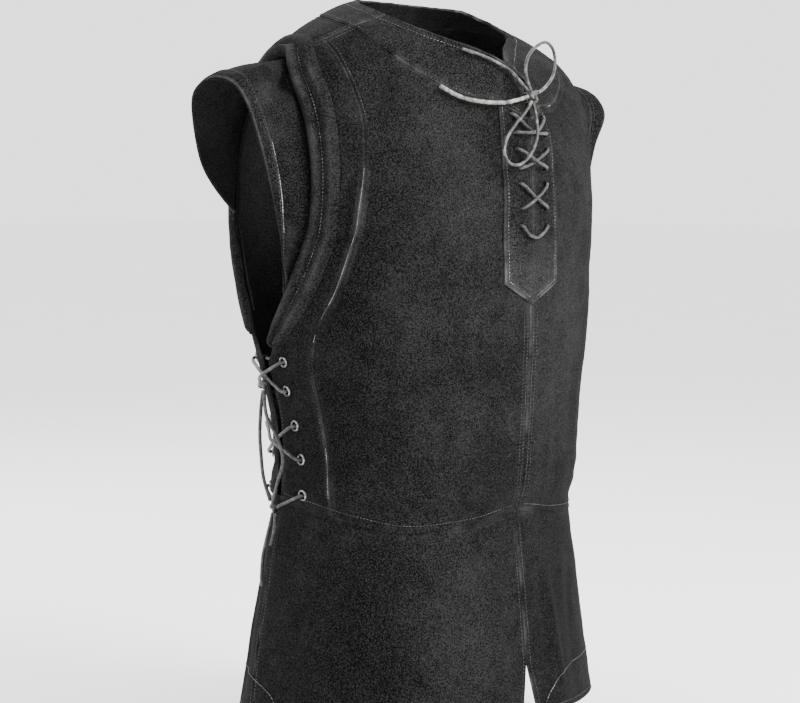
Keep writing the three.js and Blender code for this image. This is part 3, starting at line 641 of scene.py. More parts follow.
def mix(a: float, b: float, t: Array) -> Array:
    """The values between a and b at shares t."""
    return a + (b - a) * t


def pair(turn: Array, level: Array) -> Array:
    """Turn and level side by side."""
    turn, level = np.broadcast_arrays(np.asarray(turn, float), np.asarray(level, float))
    return np.stack([turn, level], -1)


@dataclass(frozen=True)
class Patch:
    """A lighter or darker patch round a place of the surface: painted light and shade with the hide's tone among
    the first patches, wear among the rubbed ones.
    """

    turn: float
    level: float
    wide: float
    high: float
    amount: float


class Hide:
    """Where the leather is painted lighter or darker, as painted light and shade mixed with the hide's own tone,
    placed after the photograph, and where its sewn edges are worn.
    """

    # painted light and shade with some of the hide's tone: lighter where the light falls, darker on the sides
    # turned from it
    patches = (
        Patch(-34, -130, 60, 70, 0.42), Patch(-22, -215, 60, 60, 0.34), Patch(-46, -300, 60, 50, 0.12),
        Patch(12, -330, 40, 120, 0.45), Patch(24, -250, 40, 70, 0.30), Patch(30, -140, 50, 60, 0.25),
        Patch(-24, -400, 45, 50, 0.24), Patch(-3, -262, 30, 26, 0.4), Patch(-26, -590, 62, 90, 0.42),
        Patch(-62, -600, 55, 90, -0.30), Patch(-84, -400, 55, 90, -0.30), Patch(-66, -250, 30, 60, -0.35),
        Patch(-58, -360, 40, 60, -0.12), Patch(24, -590, 60, 90, -0.45), Patch(-58, -90, 50, 40, 0.10),
        Patch(62, -300, 60, 90, -0.15), Patch(66, -600, 55, 80, -0.2), Patch(40, -600, 50, 80, 0.25),
        Patch(180, -170, 110, 80, 0.3), Patch(150, -330, 70, 80, -0.15), Patch(-150, -340, 70, 80, -0.15),
        Patch(170, -590, 90, 80, 0.2), Patch(-128, -590, 60, 80, -0.1),
    )

    rubbed = (
        Patch(-60, -225, 34, 62, 0.9), Patch(60, -228, 34, 60, 0.8), Patch(0, -262, 40, 34, 0.3),
        Patch(-40, -484, 150, 12, -0.35), Patch(0, -672, 50, 20, 0.3), Patch(-112, -420, 24, 60, 0.2),
        Patch(112, -420, 24, 60, 0.2), Patch(60, -478, 150, 12, -0.3), Patch(150, -300, 60, 90, 0.2),
    )
    spotty = SoftNoise(31, 17)

    @staticmethod
    def sum(patches: Sequence[Patch], turn: Array, level: Array) -> Array:
        """The patches' amounts at places of the surface.

        Args:
            patches: the patches to add up.
            turn: the signed turns of the places.
            level: the levels of the places.

        Returns:
            The sums.
        """
        turn = (np.asarray(turn, float) + 180) % 360 - 180
        total = np.zeros(turn.shape)
        for p in patches:
            x = ((turn - p.turn + 180) % 360 - 180) * SIZE.degree
            total += p.amount * np.exp(-((x / p.wide) ** 2) - ((level - p.level) / p.high) ** 2)
        return total

    @classmethod
    def shade(cls, turn: Array, level: Array) -> Array:
        """The painted light and shade, mixed with the hide's own tone, at places of the surface, 0 on average."""
        return cls.sum(cls.patches, turn, level)

    @classmethod
    def rub(cls, turn: Array, level: Array) -> Array:
        """How much the sewn edges are rubbed light at places of the surface.

        Args:
            turn: the signed turns of the places.
            level: the levels of the places.

        Returns:
            The wear of the places.
        """
        turn = (np.asarray(turn, float) + 180) % 360 - 180
        patchy = np.clip(0.3 + 0.45 * cls.spotty.at(turn * SIZE.degree, level), 0.05, 1)
        return np.clip(patchy + cls.sum(cls.rubbed, turn, level), 0, 1.2)


def edge_distance(points: Array) -> tuple[Array, Array]:
    """Distances of a grid's points from its side edges and from its end edges.

    Args:
        points: the grid, rows by columns by 3.

    Returns:
        The distance from the nearer of the first and last columns, and that from the nearer of the rows.
    """
    made = []
    for axis in (1, 0):
        step = np.linalg.norm(np.diff(points, axis=axis), axis=-1)
        run = np.cumsum(step, axis=axis)
        zero = np.zeros_like(np.take(run, [0], axis=axis))
        run = np.concatenate([zero, run], axis=axis)
        total = np.take(run, [-1], axis=axis)
        made.append(np.minimum(run, total - run))
    return made[0], made[1]


def edge_roll(distance: Array) -> Array:
    """How a sewn edge rolls under and dips where its topstitching pulls it down."""
    turned_under = -1.1 * np.exp(-((distance / 1.3) ** 2))
    return turned_under - 0.55 * hill(distance, 5.0, 1.3) + 0.35 * hill(distance, 2.6, 1.2)


def panel(
    name: str, grid: Array, side: Side | None, node: str, extra: Callable[[Array, Array], Array] | None = None
) -> bpy.types.Object:
    """Dress a CAD panel with a fine leather wall on its own form.

    Args:
        name: the piece's name.
        grid: turn and level of the wall's points, rows by columns by 2, on the wearer's left.
        side: the side it belongs to, or None where it crosses the middle.
        node: the CAD node that it replaces.
        extra: how much further its outer face stands out, by turn and level on the wearer's left.

    Returns:
        The piece.
    """
    sign = side.value if side else 1
    turn, level = grid[..., 0], grid[..., 1]
    lift = extra(turn, level) if extra else 0.0
    relief = RELIEF.at(sign * turn, level)
    base = GARMENT.surface(sign * turn, level)
    across, along = edge_distance(base)
    near = np.minimum(across, along)
    outer = GARMENT.place(sign * turn, level, relief + lift + edge_roll(across) + edge_roll(along))
    inner = GARMENT.place(sign * turn, level, relief - SIZE.wall)
    wear = (0.85 * np.exp(-((near / 1.5) ** 2)) + 0.16 * hill(near, 4.6, 2.0)) * Hide.rub(sign * turn, level)
    # the hide's painted light and shade, with its own tone
    return seat(leather_shell(name, inner, outer, wear, Hide.shade(sign * turn, level)), node, base)


def seat(piece: bpy.types.Object, node: str, grid: Array, rests_on: Sequence[str] = ()) -> bpy.types.Object:
    """Put a leather piece in its CAD node's place and log its cut.

    Args:
        piece: the piece.
        node: the CAD node that it replaces.
        grid: the grid of points that it follows, in millimetres.
        rests_on: the pieces that it lies on.

    Returns:
        The piece.
    """
    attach(piece, BODY)
    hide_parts(node)
    cut(piece, grid, rests_on=rests_on)
    return piece


def cut(piece: bpy.types.Object, grid: Array, held: str = "hung", rests_on: Sequence[str] = ()) -> None:
    """Args:
        piece: the piece.
        grid: the grid of points that it follows, in millimetres.
        held: how it is held; not used.
        rests_on: the pieces that it lies on.
    """
    wide = np.linalg.norm(np.diff(grid, axis=1), axis=-1).sum(1).max() * MM
    long = np.linalg.norm(np.diff(grid, axis=0), axis=-1).sum(0).max() * MM
    a, b, c, d = grid[:-1, :-1], grid[1:, :-1], grid[1:, 1:], grid[:-1, 1:]
    half_one = np.linalg.norm(np.cross(b - a, d - a), axis=-1).sum()
    half_two = np.linalg.norm(np.cross(d - c, b - c), axis=-1).sum()
    area = min((half_one + half_two) / 2 * MM * MM, wide * long)
    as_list(rests_on)
    LOG.info("%s is cut %.0f x %.0f mm, %.4f m2", piece.name, wide / MM, long / MM, area)


def circle(sides: int) -> Array:
    """The angles of the corners round a circle."""
    return np.linspace(0, 2 * math.pi, sides + 1)[:-1]


def punch(target: bpy.types.Object, places: Array, radius: float) -> None:
    """Cut round holes through a leather wall.

    Args:
        target: the wall.
        places: turn and level of each hole, with its signed turn.
        radius: the holes' radius.
    """
    sides, inwards, outwards = 16, 9, 12
    around = circle(sides)
    points, faces = [], []
    for turn, level in places:
        middle = GARMENT.place(turn, level)
        out, across, up = local_frame(turn, level)
        ring = np.outer(np.cos(around), across) + np.outer(np.sin(around), up)
        low = list(range(len(points) * sides, (len(points) + 1) * sides))
        points += [middle + ring * radius - out * inwards, middle + ring * radius + out * outwards]
        high = [k + sides for k in low]
        faces += [low[::-1], high]
        faces += [[low[k], low[k + 1 - sides], high[k + 1 - sides], high[k]] for k in range(sides)]
    cutter = new_object("cutter", np.vstack(points), faces)
    cut = target.modifiers.new("holes", "BOOLEAN")
    cut.operation = "DIFFERENCE"
    cut.solver = "EXACT"
    cut.object = cutter
    graph = bpy.context.evaluated_depsgraph_get()
    cut_through = target.evaluated_get(graph)
    mesh = bpy.data.meshes.new_from_object(cut_through, preserve_all_data_layers=True, depsgraph=graph)
    target.modifiers.remove(cut)
    target.data = mesh
    bpy.data.objects.remove(cutter)


# Finishes


class NodeTree:
    """A material's node tree, built with short calls."""

    def __init__(self, name: str) -> None:
        """Start an empty material.

        Args:
            name: the material's name.
        """
        self.material = bpy.data.materials.new(name)
        self.material.use_nodes = True
        self.tree = self.material.node_tree
        self.tree.nodes.clear()
        self.output = self.add("ShaderNodeOutputMaterial")
        self.shader = self.add("ShaderNodeBsdfPrincipled")
        self.link(self.shader, "BSDF", self.output, "Surface")
        self.place = self.add("ShaderNodeTexCoord")

    def add(self, kind: str, **settings: object) -> bpy.types.Node:
        """Add a node and set its properties.

        Args:
            kind: the node's type.
            **settings: its properties' values.

        Returns:
            The node.
        """
        node = self.tree.nodes.new(kind)
        for key, value in settings.items():
            setattr(node, key, value)
        return node

    def link(self, source: bpy.types.Node, out: str | int, target: bpy.types.Node, into: str | int) -> None:
        """Join two sockets."""
        self.tree.links.new(source.outputs[out], target.inputs[into])

    def noise(self, scale: float, detail: float = 2.0, rough: float = 0.5) -> bpy.types.Node:
        """Add a noise that keeps its size on the object.

        Args:
            scale: lumps in one metre.
            detail: how many finer layers it has.
            rough: how strong they are.

        Returns:
            The noise node.
        """
        node = self.add("ShaderNodeTexNoise")
        node.inputs["Scale"].default_value = scale
        node.inputs["Detail"].default_value = detail
        node.inputs["Roughness"].default_value = rough
        self.link(self.place, "Object", node, "Vector")
        return node

    def ramp(self, source: bpy.types.Node, out: str | int, *stops: tuple[float, tuple]) -> bpy.types.Node:
        """Add a colour ramp after a socket.

        Args:
            source: the node that it reads.
            out: that node's output.
            *stops: its places and colours.

        Returns:
            The node.
        """
        node = self.add("ShaderNodeValToRGB")
        elements = node.color_ramp.elements
        while len(elements) < len(stops):
            elements.new(0.5)
        for element, (at, color) in zip(elements, stops):
            element.position = at
            element.color = (*color, 1) if len(color) == 3 else color
        self.link(source, out, node, "Fac")
        return node

    def blend(self, mode: str, amount: float | tuple, first: tuple, second: tuple) -> bpy.types.Node:
        """Mix two colours.

        Args:
            mode: how they mix.
            amount: the share, or the node and socket that give it.
            first: the first colour's node and socket.
            second: the second colour's node and socket, or a plain colour.

        Returns:
            The mixing node, with its result on socket 2.
        """
        node = self.add("ShaderNodeMix", data_type="RGBA", blend_type=mode)
        if isinstance(amount, tuple):
            self.link(*amount, node, 0)
        else:
            node.inputs[0].default_value = amount
        self.link(*first, node, 6)
        if isinstance(second[0], bpy.types.Node):
            self.link(*second, node, 7)
        else:
            node.inputs[7].default_value = (*second, 1)
        return node

    def math(self, kind: str, first: tuple, second: float | tuple) -> bpy.types.Node:
        """Add a calculation on a socket and a number or another socket.

        Args:
            kind: the operation.
            first: the first input.
            second: the second input.

        Returns:
            The node.
        """
        node = self.add("ShaderNodeMath", operation=kind)
        self.link(*first, node, 0)
        if isinstance(second, tuple):
            self.link(*second, node, 1)
        else:
            node.inputs[1].default_value = second
        return node

    def bump(self, *layers: tuple[bpy.types.Node, float]) -> None:
        """Raise the surface by several heights, each a node and its depth in metres.

        Args:
            *layers: the heights to add up.
        """
        before = None
        for source, depth in layers:
            node = self.add("ShaderNodeBump")
            node.inputs["Strength"].default_value = 1
            node.inputs["Distance"].default_value = depth
            self.link(source, 0, node, "Height")
            if before:
                self.link(before, "Normal", node, "Normal")
            before = node
        self.link(before, "Normal", self.shader, "Normal")


def grey(value: float, warmth: float = 0.0) -> tuple[float, float, float]:
    """A grey, a little warmer or cooler."""
    return (value * (1 + warmth), value, value * (1 - warmth))


@dataclass(frozen=True)
class Suede:
    """Napped black leather: mottled, scuffed at its edges, with a dry sheen."""

    name: str
    dark: float = 0.0006
    middle: float = 0.0028
    light: float = 0.0185
    scuff: float = 0.085
    sheen: float = 0.006

    def build(self) -> bpy.types.Material:
        """Make the material.

        Returns:
            The material.
        """
        n = NodeTree(self.name)
        broad = n.noise(11, 3, 0.6)
        medium = n.noise(48, 4, 0.62)
        nap = n.noise(430, 5, 0.75)
        speck = n.noise(760, 2, 0.65)
        shade = n.add("ShaderNodeAttribute", attribute_name="shade")
        wear = n.add("ShaderNodeAttribute", attribute_name="wear")
        tone = n.math("MULTIPLY", (broad, 0), 0.34)
        tone = n.math("ADD", (tone, 0), (n.math("MULTIPLY", (medium, 0), 0.4), 0))
        tone = n.math("ADD", (tone, 0), (n.math("MULTIPLY", (nap, 0), 0.52), 0))
        # the shade attribute brings painted light and shade, with the hide's tone, into the colour
        tone = n.math("ADD", (tone, 0), (n.math("MULTIPLY", (shade, "Fac"), 0.3), 0))
        color = n.ramp(
            tone, 0, (0.42, grey(self.dark)), (0.6, grey(self.middle)), (0.76, grey(self.light * 0.6)),
            (0.98, grey(self.light)),
        )
        specks = n.ramp(speck, 0, (0.46, grey(0.0)), (0.7, grey(1.0)))
        strength = n.math("MULTIPLY", (specks, 0), 0.44)
        speckled = n.blend("MIX", (strength, 0), (color, 0), grey(self.light * 2.2))
        pits = n.ramp(speck, 0, (0.34, grey(0.12)), (0.52, grey(1.0)))
        speckled = n.blend("MULTIPLY", 1.0, (speckled, 2), (pits, 0))
        rub = n.ramp(medium, 0, (0.36, grey(0.25)), (0.62, grey(1.0)))
        rubbed = n.math("MULTIPLY", (wear, "Fac"), (rub, 0))
        scuffed = n.blend("MIX", (rubbed, 0), (speckled, 2), grey(self.scuff, 0.02))
        n.link(scuffed, 2, n.shader, "Base Color")
        rough = n.ramp(nap, 0, (0.3, grey(0.78)), (0.7, grey(0.96)))
        n.link(rough, 0, n.shader, "Roughness")
        n.shader.inputs["Sheen Weight"].default_value = self.sheen
        n.shader.inputs["Sheen Roughness"].default_value = 0.5
        n.shader.inputs["Sheen Tint"].default_value = (0.75, 0.75, 0.77, 1)
        n.shader.inputs["Specular IOR Level"].default_value = 0.03
        n.bump((nap, 0.0011), (speck, 0.0004), (medium, 0.0008))
        return n.material


@dataclass(frozen=True)
class LaceLeather:
    """Pale leather lace, mottled and darker where it is handled."""

    name: str
    dark: float = 0.03
    middle: float = 0.15
    light: float = 0.42

    def build(self) -> bpy.types.Material:
        """Make the material.

        Returns:
            The material.
        """
        n = NodeTree(self.name)
        patchy = n.noise(150, 4, 0.65)
        fibre = n.noise(1300, 3, 0.6)
        color = n.ramp(
            patchy, 0, (0.34, grey(self.dark, 0.02)), (0.48, grey(self.middle, 0.03)),
            (0.66, grey(self.light, 0.03)),
        )
        fine = n.ramp(fibre, 0, (0.32, grey(0.35)), (0.62, grey(1.0)))
        n.link(n.blend("MULTIPLY", 0.85, (color, 0), (fine, 0)), 2, n.shader, "Base Color")
        n.shader.inputs["Roughness"].default_value = 0.42
        n.shader.inputs["Specular IOR Level"].default_value = 0.42
        n.bump((fibre, 0.0005), (patchy, 0.0008))
        return n.material


@dataclass(frozen=True)
class WornMetal:
    """Dull steel of the eyelet rings."""

    name: str = "worn_metal"

    def build(self) -> bpy.types.Material:
        """Make the material.

        Returns:
            The material.
        """
        n = NodeTree(self.name)
        tarnish = n.noise(420, 4, 0.6)
        color = n.ramp(tarnish, 0, (0.36, (0.05, 0.049, 0.047)), (0.62, (0.34, 0.33, 0.32)))
        n.link(color, 0, n.shader, "Base Color")
        n.link(n.ramp(tarnish, 0, (0.3, grey(0.55)), (0.7, grey(0.28))), 0, n.shader, "Roughness")
        n.shader.inputs["Metallic"].default_value = 1
        n.bump((tarnish, 0.0002))
        return n.material


@dataclass(frozen=True)
class Thread:
    """Pale waxed thread of the topstitching."""

    name: str
    light: float = 0.22

    def build(self) -> bpy.types.Material:
        """Make the material.

        Returns:
            The material.
        """
        n = NodeTree(self.name)
        soil = n.noise(60, 4, 0.7)
        twist = n.noise(2500, 1, 0.5)
        color = n.ramp(
            soil, 0, (0.38, grey(self.light * 0.08, 0.02)), (0.52, grey(self.light * 0.35, 0.02)),
            (0.66, grey(self.light, 0.02)),
        )
        n.link(color, 0, n.shader, "Base Color")
        n.shader.inputs["Roughness"].default_value = 0.7
        n.bump((twist, 0.0002))
        return n.material


class Finishes:
    """The materials of the vest."""

    def __init__(self) -> None:
        """Make them all."""
        self.panel = Suede("panel_suede").build()
        self.trim = Suede("trim_suede", dark=0.0008, middle=0.004, light=0.023, scuff=0.1).build()
        # one lace leather in three painted lights: the bow's front end is the lit copy, the loops, knot and neck
        # end a dimmer copy, and the drawn laces a shaded copy
        self.lace = LaceLeather("lace_leather").build()
        self.loop = LaceLeather("loop_lace_leather", 0.008, 0.035, 0.18).build()
        self.tight = LaceLeather("tight_lace_leather", 0.004, 0.012, 0.085).build()
        self.metal = WornMetal().build()
        self.thread = Thread("waxed_thread").build()
        self.faint = Thread("rubbed_thread", 0.07).build()
        self.lip = Thread("worn_lip", 0.5).build()


def dress(piece: bpy.types.Object, material: bpy.types.Material) -> bpy.types.Object:
    """Give a piece its finish.

    Args:
        piece: the piece.
        material: the material.

    Returns:
        The piece.
    """
    piece.data.materials.clear()
    piece.data.materials.append(material)
    return piece


class Stitching:
    """Rows of topstitches, gathered by piece and made as one mesh each."""

    length = 2.3
    pitch = 3.4
    thickness = 0.34
    sides = 5
    # share of a stitch's length, radius and height of each ring of its spindle, in thicknesses
    spindle = ((0, 0.35, -0.35), (0.22, 0.95, 0.3), (0.78, 0.95, 0.3), (1, 0.35, -0.35))

    def __init__(self, name: str) -> None:
        """Start an empty set of rows.

        Args:
            name: the name of the piece that they become.
        """
        self.name = name
        self.points: list[Array] = []
        self.faces: list[Array] = []
        self.count = 0
        self.each = self.sides * len(self.spindle)
        self.draw = np.random.default_rng(sum(map(ord, name)))

    def along(self, path: Array, out: Array, sign: int = 1) -> None:
        """Sew a row on the garment's surface.

        Args:
            path: turn and level of places along the row, on the wearer's left.
            out: how far the row's leather stands out of the plain surface, without its relief.
            sign: -1 for the wearer's right.
        """
        turn, level = sign * path[:, 0], path[:, 1]
        relief = RELIEF.at(turn, level)
        self.free(GARMENT.place(turn, level, relief + out), GARMENT.normal(turn, level))

    def free(self, line: Array, normal: Array) -> None:
        """Sew a row along points in space.

        Args:
            line: the points.
            normal: the leather's normals there.
        """
        run = np.concatenate([[0], np.cumsum(np.linalg.norm(np.diff(line, axis=0), axis=1))])
        count = int((run[-1] - self.length) / self.pitch)
        if count < 1:
            return
        start = np.arange(count) * self.pitch + 0.6 + self.draw.uniform(-0.25, 0.25, count)
        long = self.length * self.draw.uniform(0.85, 1.1, count)
        read = lambda at, data: np.stack([np.interp(at, run, data[:, k]) for k in range(3)], -1)
        first, last, up = read(start, line), read(start + long, line), read(start + long / 2, normal)
        self.add(first, last, up)

    def add(self, first: Array, last: Array, up: Array) -> None:
        """Add one spindle of thread for each pair of points.

        Args:
            first: where each stitch starts.
            last: where each stitch ends.
            up: its direction out of the leather.
        """
        way = last - first
        across = np.cross(way, up)
        across /= np.linalg.norm(across, axis=1, keepdims=True)
        up = up / np.linalg.norm(up, axis=1, keepdims=True)
        around = circle(self.sides)[None, :, None]
        offset = np.cos(around) * across[:, None] + np.sin(around) * up[:, None]
        rings = []
        for share, radius, high in self.spindle:
            middle = first + way * share + up * high * self.thickness
            rings.append(middle[:, None] + offset * radius * self.thickness)
        block = np.stack(rings, 1).reshape(len(first), -1, 3)
        self.points.append(block.reshape(-1, 3))
        ring = np.arange(self.sides)
        after = np.roll(ring, -1)
        low = np.stack([ring, after, after + self.sides, ring + self.sides], -1)
        quads = np.vstack([low + self.sides * r for r in range(len(self.spindle) - 1)])
        base = self.count + np.arange(len(first)) * self.each
        self.faces.append((quads[None] + base[:, None, None]).reshape(-1, 4))
        self.count += self.each * len(first)

    def finish(self, material: bpy.types.Material) -> bpy.types.Object:
        """Make the piece.

        Args:
            material: the thread's material.

        Returns:
            The piece.
        """
        quads = np.vstack(self.faces).tolist()
        caps = []
        for base in range(0, self.count, self.each):
            caps.append([base + k for k in reversed(range(self.sides))])
            caps.append([base + k for k in range(self.each - self.sides, self.each)])
        made = new_object(self.name, np.vstack(self.points), quads + caps)
        made.data.shade_smooth()
        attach(made, BODY)
        return dress(made, material)


@dataclass
class Bodice:
    """The bodice: front centre and front side panels, and the back."""

    finishes: Finishes
    overhang: float = 0.8
    half: float = SIZE.seam / 2
    arm_clear: float = 3.0
    shoulder_turn: tuple[float, float] = (85.95, 86.15)

    def proud(self, turn: Array, level: Array) -> Array:
        """How far the bodice's lower edge stands over the skirt."""
        return self.overhang * smooth(14, 0, level - GARMENT.waist_at(turn))

    @staticmethod
    def slit(level: Array) -> Array:
        """Half the front slit's width, in degrees."""
        return 0.05 + SIZE.slit_open * np.clip(1 - level / SIZE.slit_end, 0, None)

    def front_centre(self) -> Array:
        """The grid of a front centre panel.

        Returns:
            Its turns and levels.
        """
        s, t = steps(250), steps(450)
        shoulder = t < 2 / 18
        seam = PRINCESS.at(np.clip((t - 2 / 18) / (16 / 18), 0, 1), -self.half)
        share = np.clip(t * 9, 0, 1)
        top_turn, top_level = self.shoulder_turn[0], float(GARMENT.neck_at(86)) - self.half
        over = pair(mix(top_turn, 86.9, share), mix(top_level, -62, share))
        right = np.where(shoulder[:, None], over, seam)
        right[-1, 1] = GARMENT.waist_at(right[-1, 0]) + self.half
        level = mix(float(GARMENT.neck_at(0)) - self.half, float(GARMENT.waist_at(0)) + self.half, t)
        left = pair(self.slit(level), level)
        return self.fill(left, right, s, t)

    def fill(self, left: Array, right: Array, s: Array, t: Array) -> Array:
        """The grid between two side edges, from the neckband's seam to the waist's.

        Args:
            left: its left edge.
            right: its right edge.
            s: the share across of each column.
            t: the share along of each row.

        Returns:
            The grid.
        """
        top, bottom = mix(left[0, 0], right[0, 0], s), mix(left[-1, 0], right[-1, 0], s)
        upper, lower = GARMENT.neck_at(top) - self.half, GARMENT.waist_at(bottom) + self.half
        return patch(pair(top, upper), pair(bottom, lower), left, right, s, t)

    def low_edge(self, arm: Array, turn: float, share: Array) -> Array:
        """The edge of a side opening, from the armhole's foot to the waist."""
        return pair(turn, mix(arm[-1, 1], float(GARMENT.waist_at(turn)) + self.half, share))

    def front_side(self) -> Array:
        """The grid of a front side panel.

        Returns:
            Its turns and levels.
        """
        s, t = steps(100), steps(430)
        left = PRINCESS.at(t, self.half)
        left[-1, 1] = GARMENT.waist_at(left[-1, 0]) + self.half
        foot = 11 / 16
        arm = ARM_FRONT.at(np.clip(t / foot, 0, 1), -self.arm_clear)
        low = self.low_edge(arm, SIZE.slit_turn - SIZE.slit_half, np.clip((t - foot) / (1 - foot), 0, 1))
        blend = smooth(foot - 0.03, foot + 0.03, t)[:, None]
        right = arm * (1 - blend) + low * blend
        top = pair(mix(left[0, 0], right[0, 0], s), mix(left[0, 1], right[0, 1], s))
        bottom = mix(left[-1, 0], right[-1, 0], s)
        return patch(top, pair(bottom, GARMENT.waist_at(bottom) + self.half), left, right, s, t)

    def back(self) -> Array:
        """The grid of one half of the back, up to the centre back seam.

        Returns:
            Its turns and levels.
        """
        s, t = steps(225), steps(470)
        start = (self.shoulder_turn[1], float(GARMENT.neck_at(86)) - self.half)
        corner = ARM_FRONT.at(np.array([0.0]), -self.arm_clear)[0] + (0.3, 0)
        first, foot = 4 / 20, 15 / 20
        rows = np.array([start, (87.25, -62), corner])
        share = np.clip(t / first, 0, 1)
        shoulder = pair(np.interp(share, (0, 0.5, 1), rows[:, 0]), np.interp(share, (0, 0.5, 1), rows[:, 1]))
        arm = ARM_BACK.at(np.clip((t - first) / (11 / 20), 0, 1), self.arm_clear)
        low = self.low_edge(arm, SIZE.slit_turn + SIZE.slit_half, np.clip((t - foot) / (5 / 20), 0, 1))
        left = np.where((t < first)[:, None], shoulder, np.where((t < foot)[:, None], arm, low))
        centre = 180 - 0.05
        upper, lower = GARMENT.neck_at(centre) - self.half, GARMENT.waist_at(centre) + self.half
        right = pair(centre, left[:, 1] + mix(upper - left[0, 1], lower - left[-1, 1], t))
        return self.fill(left, right, s, t)

    def build(self) -> list[bpy.types.Object]:
        """Make the panels and punch their holes.

        Returns:
            The panels.
        """
        rows = SideLacing.rows
        kinds = (
            ("front_centre_", self.front_centre(), FrontLacing.holes, FrontLacing.hole),
            ("front_side_", self.front_side(), rows[:, [0, 2]], SideLacing.hole),
            ("back_", self.back(), rows[:, [1, 2]], SideLacing.hole),
        )
        made = []
        for side in Side:
            for kind, grid, holes, radius in kinds:
                node = kind + side.word
                piece = panel("leather_" + node, grid, side, node, self.proud)
                punch(piece, holes * (side.value, 1), radius)
                made.append(dress(piece, self.finishes.panel))
        return made

    def stitch(self) -> bpy.types.Object:
        """Topstitch the seams of the bodice.

        Returns:
            The stitches.
        """
        rows = Stitching("stitches_bodice")
        t = np.linspace(0.0, 1, 300)
        for sign in (-1, 1):
            for aside in (-2.4, 2.4):
                rows.along(PRINCESS.at(t[4:-2], aside), -0.3, sign)
            for aside in (-6.5, 5.2):
                rows.along(SHOULDER.at(np.linspace(0.03, 0.75, 60), aside), -0.1, sign)
            level = np.linspace(-284, -472, 80)
            for turn in (1.25, 2.7):
                rows.along(pair(turn, level), -0.2, sign)
            edge = SIZE.slit_turn - SIZE.slit_half
            rows.along(pair(edge - 1.7, np.linspace(-345, -458, 60)), -0.3, sign)
            rows.along(pair(SIZE.slit_turn + SIZE.slit_half + 1.7, np.linspace(-330, -460, 60)), -0.3, sign)
            turn = np.linspace(3, 107, 260)
            rows.along(pair(turn, GARMENT.waist_at(turn) + 5), 0.9, sign)
            rows.along(pair(180 - 1.4, np.linspace(-42, -466, 220)), -0.2, sign)
        turn = np.linspace(117, 243, 260)
        rows.along(pair(turn, GARMENT.waist_at(turn) + 5), 0.9)
        return rows.finish(self.finishes.faint)


@dataclass
class WornEdges:
    """Pale rubbed lips of leather along the seams that wear first."""

    finishes: Finishes
    runs: tuple = ((0.30, 0.60), (0.63, 0.66), (0.86, 0.97))

    def build(self) -> list[bpy.types.Object]:
        """Make the lips of both princess seams and of both cap rims.

        Returns:
            The pieces.
        """
        rows = Stitching("worn_edges")
        rows.length, rows.pitch, rows.thickness = 2.6, 2.7, 0.36
        cap = ShoulderCap(self.finishes)
        for side in Side:
            for first, last in self.runs:
                rows.along(PRINCESS.at(np.linspace(first, last, 160), 0.5), -0.4, side.value)
            share = np.linspace(0.14, 0.34, 120)
            depth = np.full(share.shape, 1 - cap.rim_share - 0.004)
            line = cap.layer(side.value, share, depth, np.full(share.shape, 2.1))
            low = cap.layer(side.value, share, depth, np.full(share.shape, 1.1))
            rows.free(line, line - low)
        return [rows.finish(self.finishes.lip)]


@dataclass
class SeamAllowances:
    """The leather's turned-in edges inside the seams, which close them to the light."""

    finishes: Finishes
    half: float = 4.5
    gap: float = 0.25
    thick: float = 0.8
    deeper: float = 1.1

    @staticmethod
    def waist(first: float, last: float) -> Seam:
        """The waist's seam between two turns."""
        return Seam(*[(turn, float(GARMENT.waist_at(turn))) for turn in np.linspace(first, last, 24)])

    def strip(
        self, name: str, seam: Seam, sign: int, shares: Sequence[float], across: Sequence[float], deep: float
    ) -> bpy.types.Object:
        """Lay the edges of one seam inside the wall, as one strip.

        Args:
            name: the piece's name.
            seam: the seam that it follows, on the wearer's left.
            sign: -1 on the wearer's right.
            shares: where it starts and ends, as shares of the seam's length.
            across: how far it reaches to the right and to the left of the seam.
            deep: how much deeper than the wall's inside it lies.

        Returns:
            The piece.
        """
        count = max(12, round(seam.length * (shares[1] - shares[0]) / 4))
        share = np.linspace(*shares, count)[:, None]
        aside = np.linspace(*across, 6)[None, :]
        grid = seam.at(share + 0 * aside, aside + 0 * share)
        turn, level = sign * grid[..., 0], grid[..., 1]
        top = RELIEF.at(turn, level) - SIZE.wall - self.gap - deep
        if deep:
            top = np.minimum(top, -SIZE.wall - self.gap - deep)
        plain = np.zeros(turn.shape)
        inner, outer = GARMENT.place(turn, level, top - self.thick), GARMENT.place(turn, level, top)
        piece = leather_shell(name, inner, outer, plain, plain)
        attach(piece, BODY)
        return dress(piece, self.finishes.trim)

    def build(self) -> list[bpy.types.Object]:
        """Make the strips of all the seams.

        Returns:
            The strips.
        """
        narrow, deep, whole = (-self.half, self.half), self.deeper, (0, 1)
        centres = (
            ("centre_back", Seam((180, -30), (180, -250), (180, -469)), 0),
            ("centre_front", Seam((0, -224), (0, -350), (0, -474)), 0),
            ("skirt_front", Seam((0, -486), (0, -560), (0, -624)), 0),
            ("waist_front", self.waist(-105, 105), deep),
            ("waist_back", self.waist(119, 241), deep),
        )
        made = [
            self.strip("allowance_" + name, seam, 1, whole, narrow, depth) for name, seam, depth in centres
        ]
        shoulder = Seam((86, -4), (86, -32), (87, -62), (94, -90))
        skirt_side = Seam((112, -480), (112, -580), (112, -674))
        armhole = Seam(
            (97.5, -298), (88.5, -269), (83, -246), (78, -221), (74.5, -195), (75, -170), (79.5, -143),
            (87.5, -118), (95, -95), (108, -97), (118, -112), (123, -138), (123, -168), (120, -200),
            (117, -240), (116, -285),
        )
        for side in Side:
            sign, word = side.value, side.word
            made += [
                self.strip("allowance_princess_" + word, PRINCESS, sign, (0.035, 0.985), narrow, 0),
                self.strip("allowance_shoulder_" + word, shoulder, sign, whole, narrow, 0),
                self.strip("allowance_skirt_side_" + word, skirt_side, sign, whole, narrow, 0),
                self.strip("allowance_armhole_" + word, armhole, sign, whole, (-5.0, 7.0), deep),
            ]
        return made


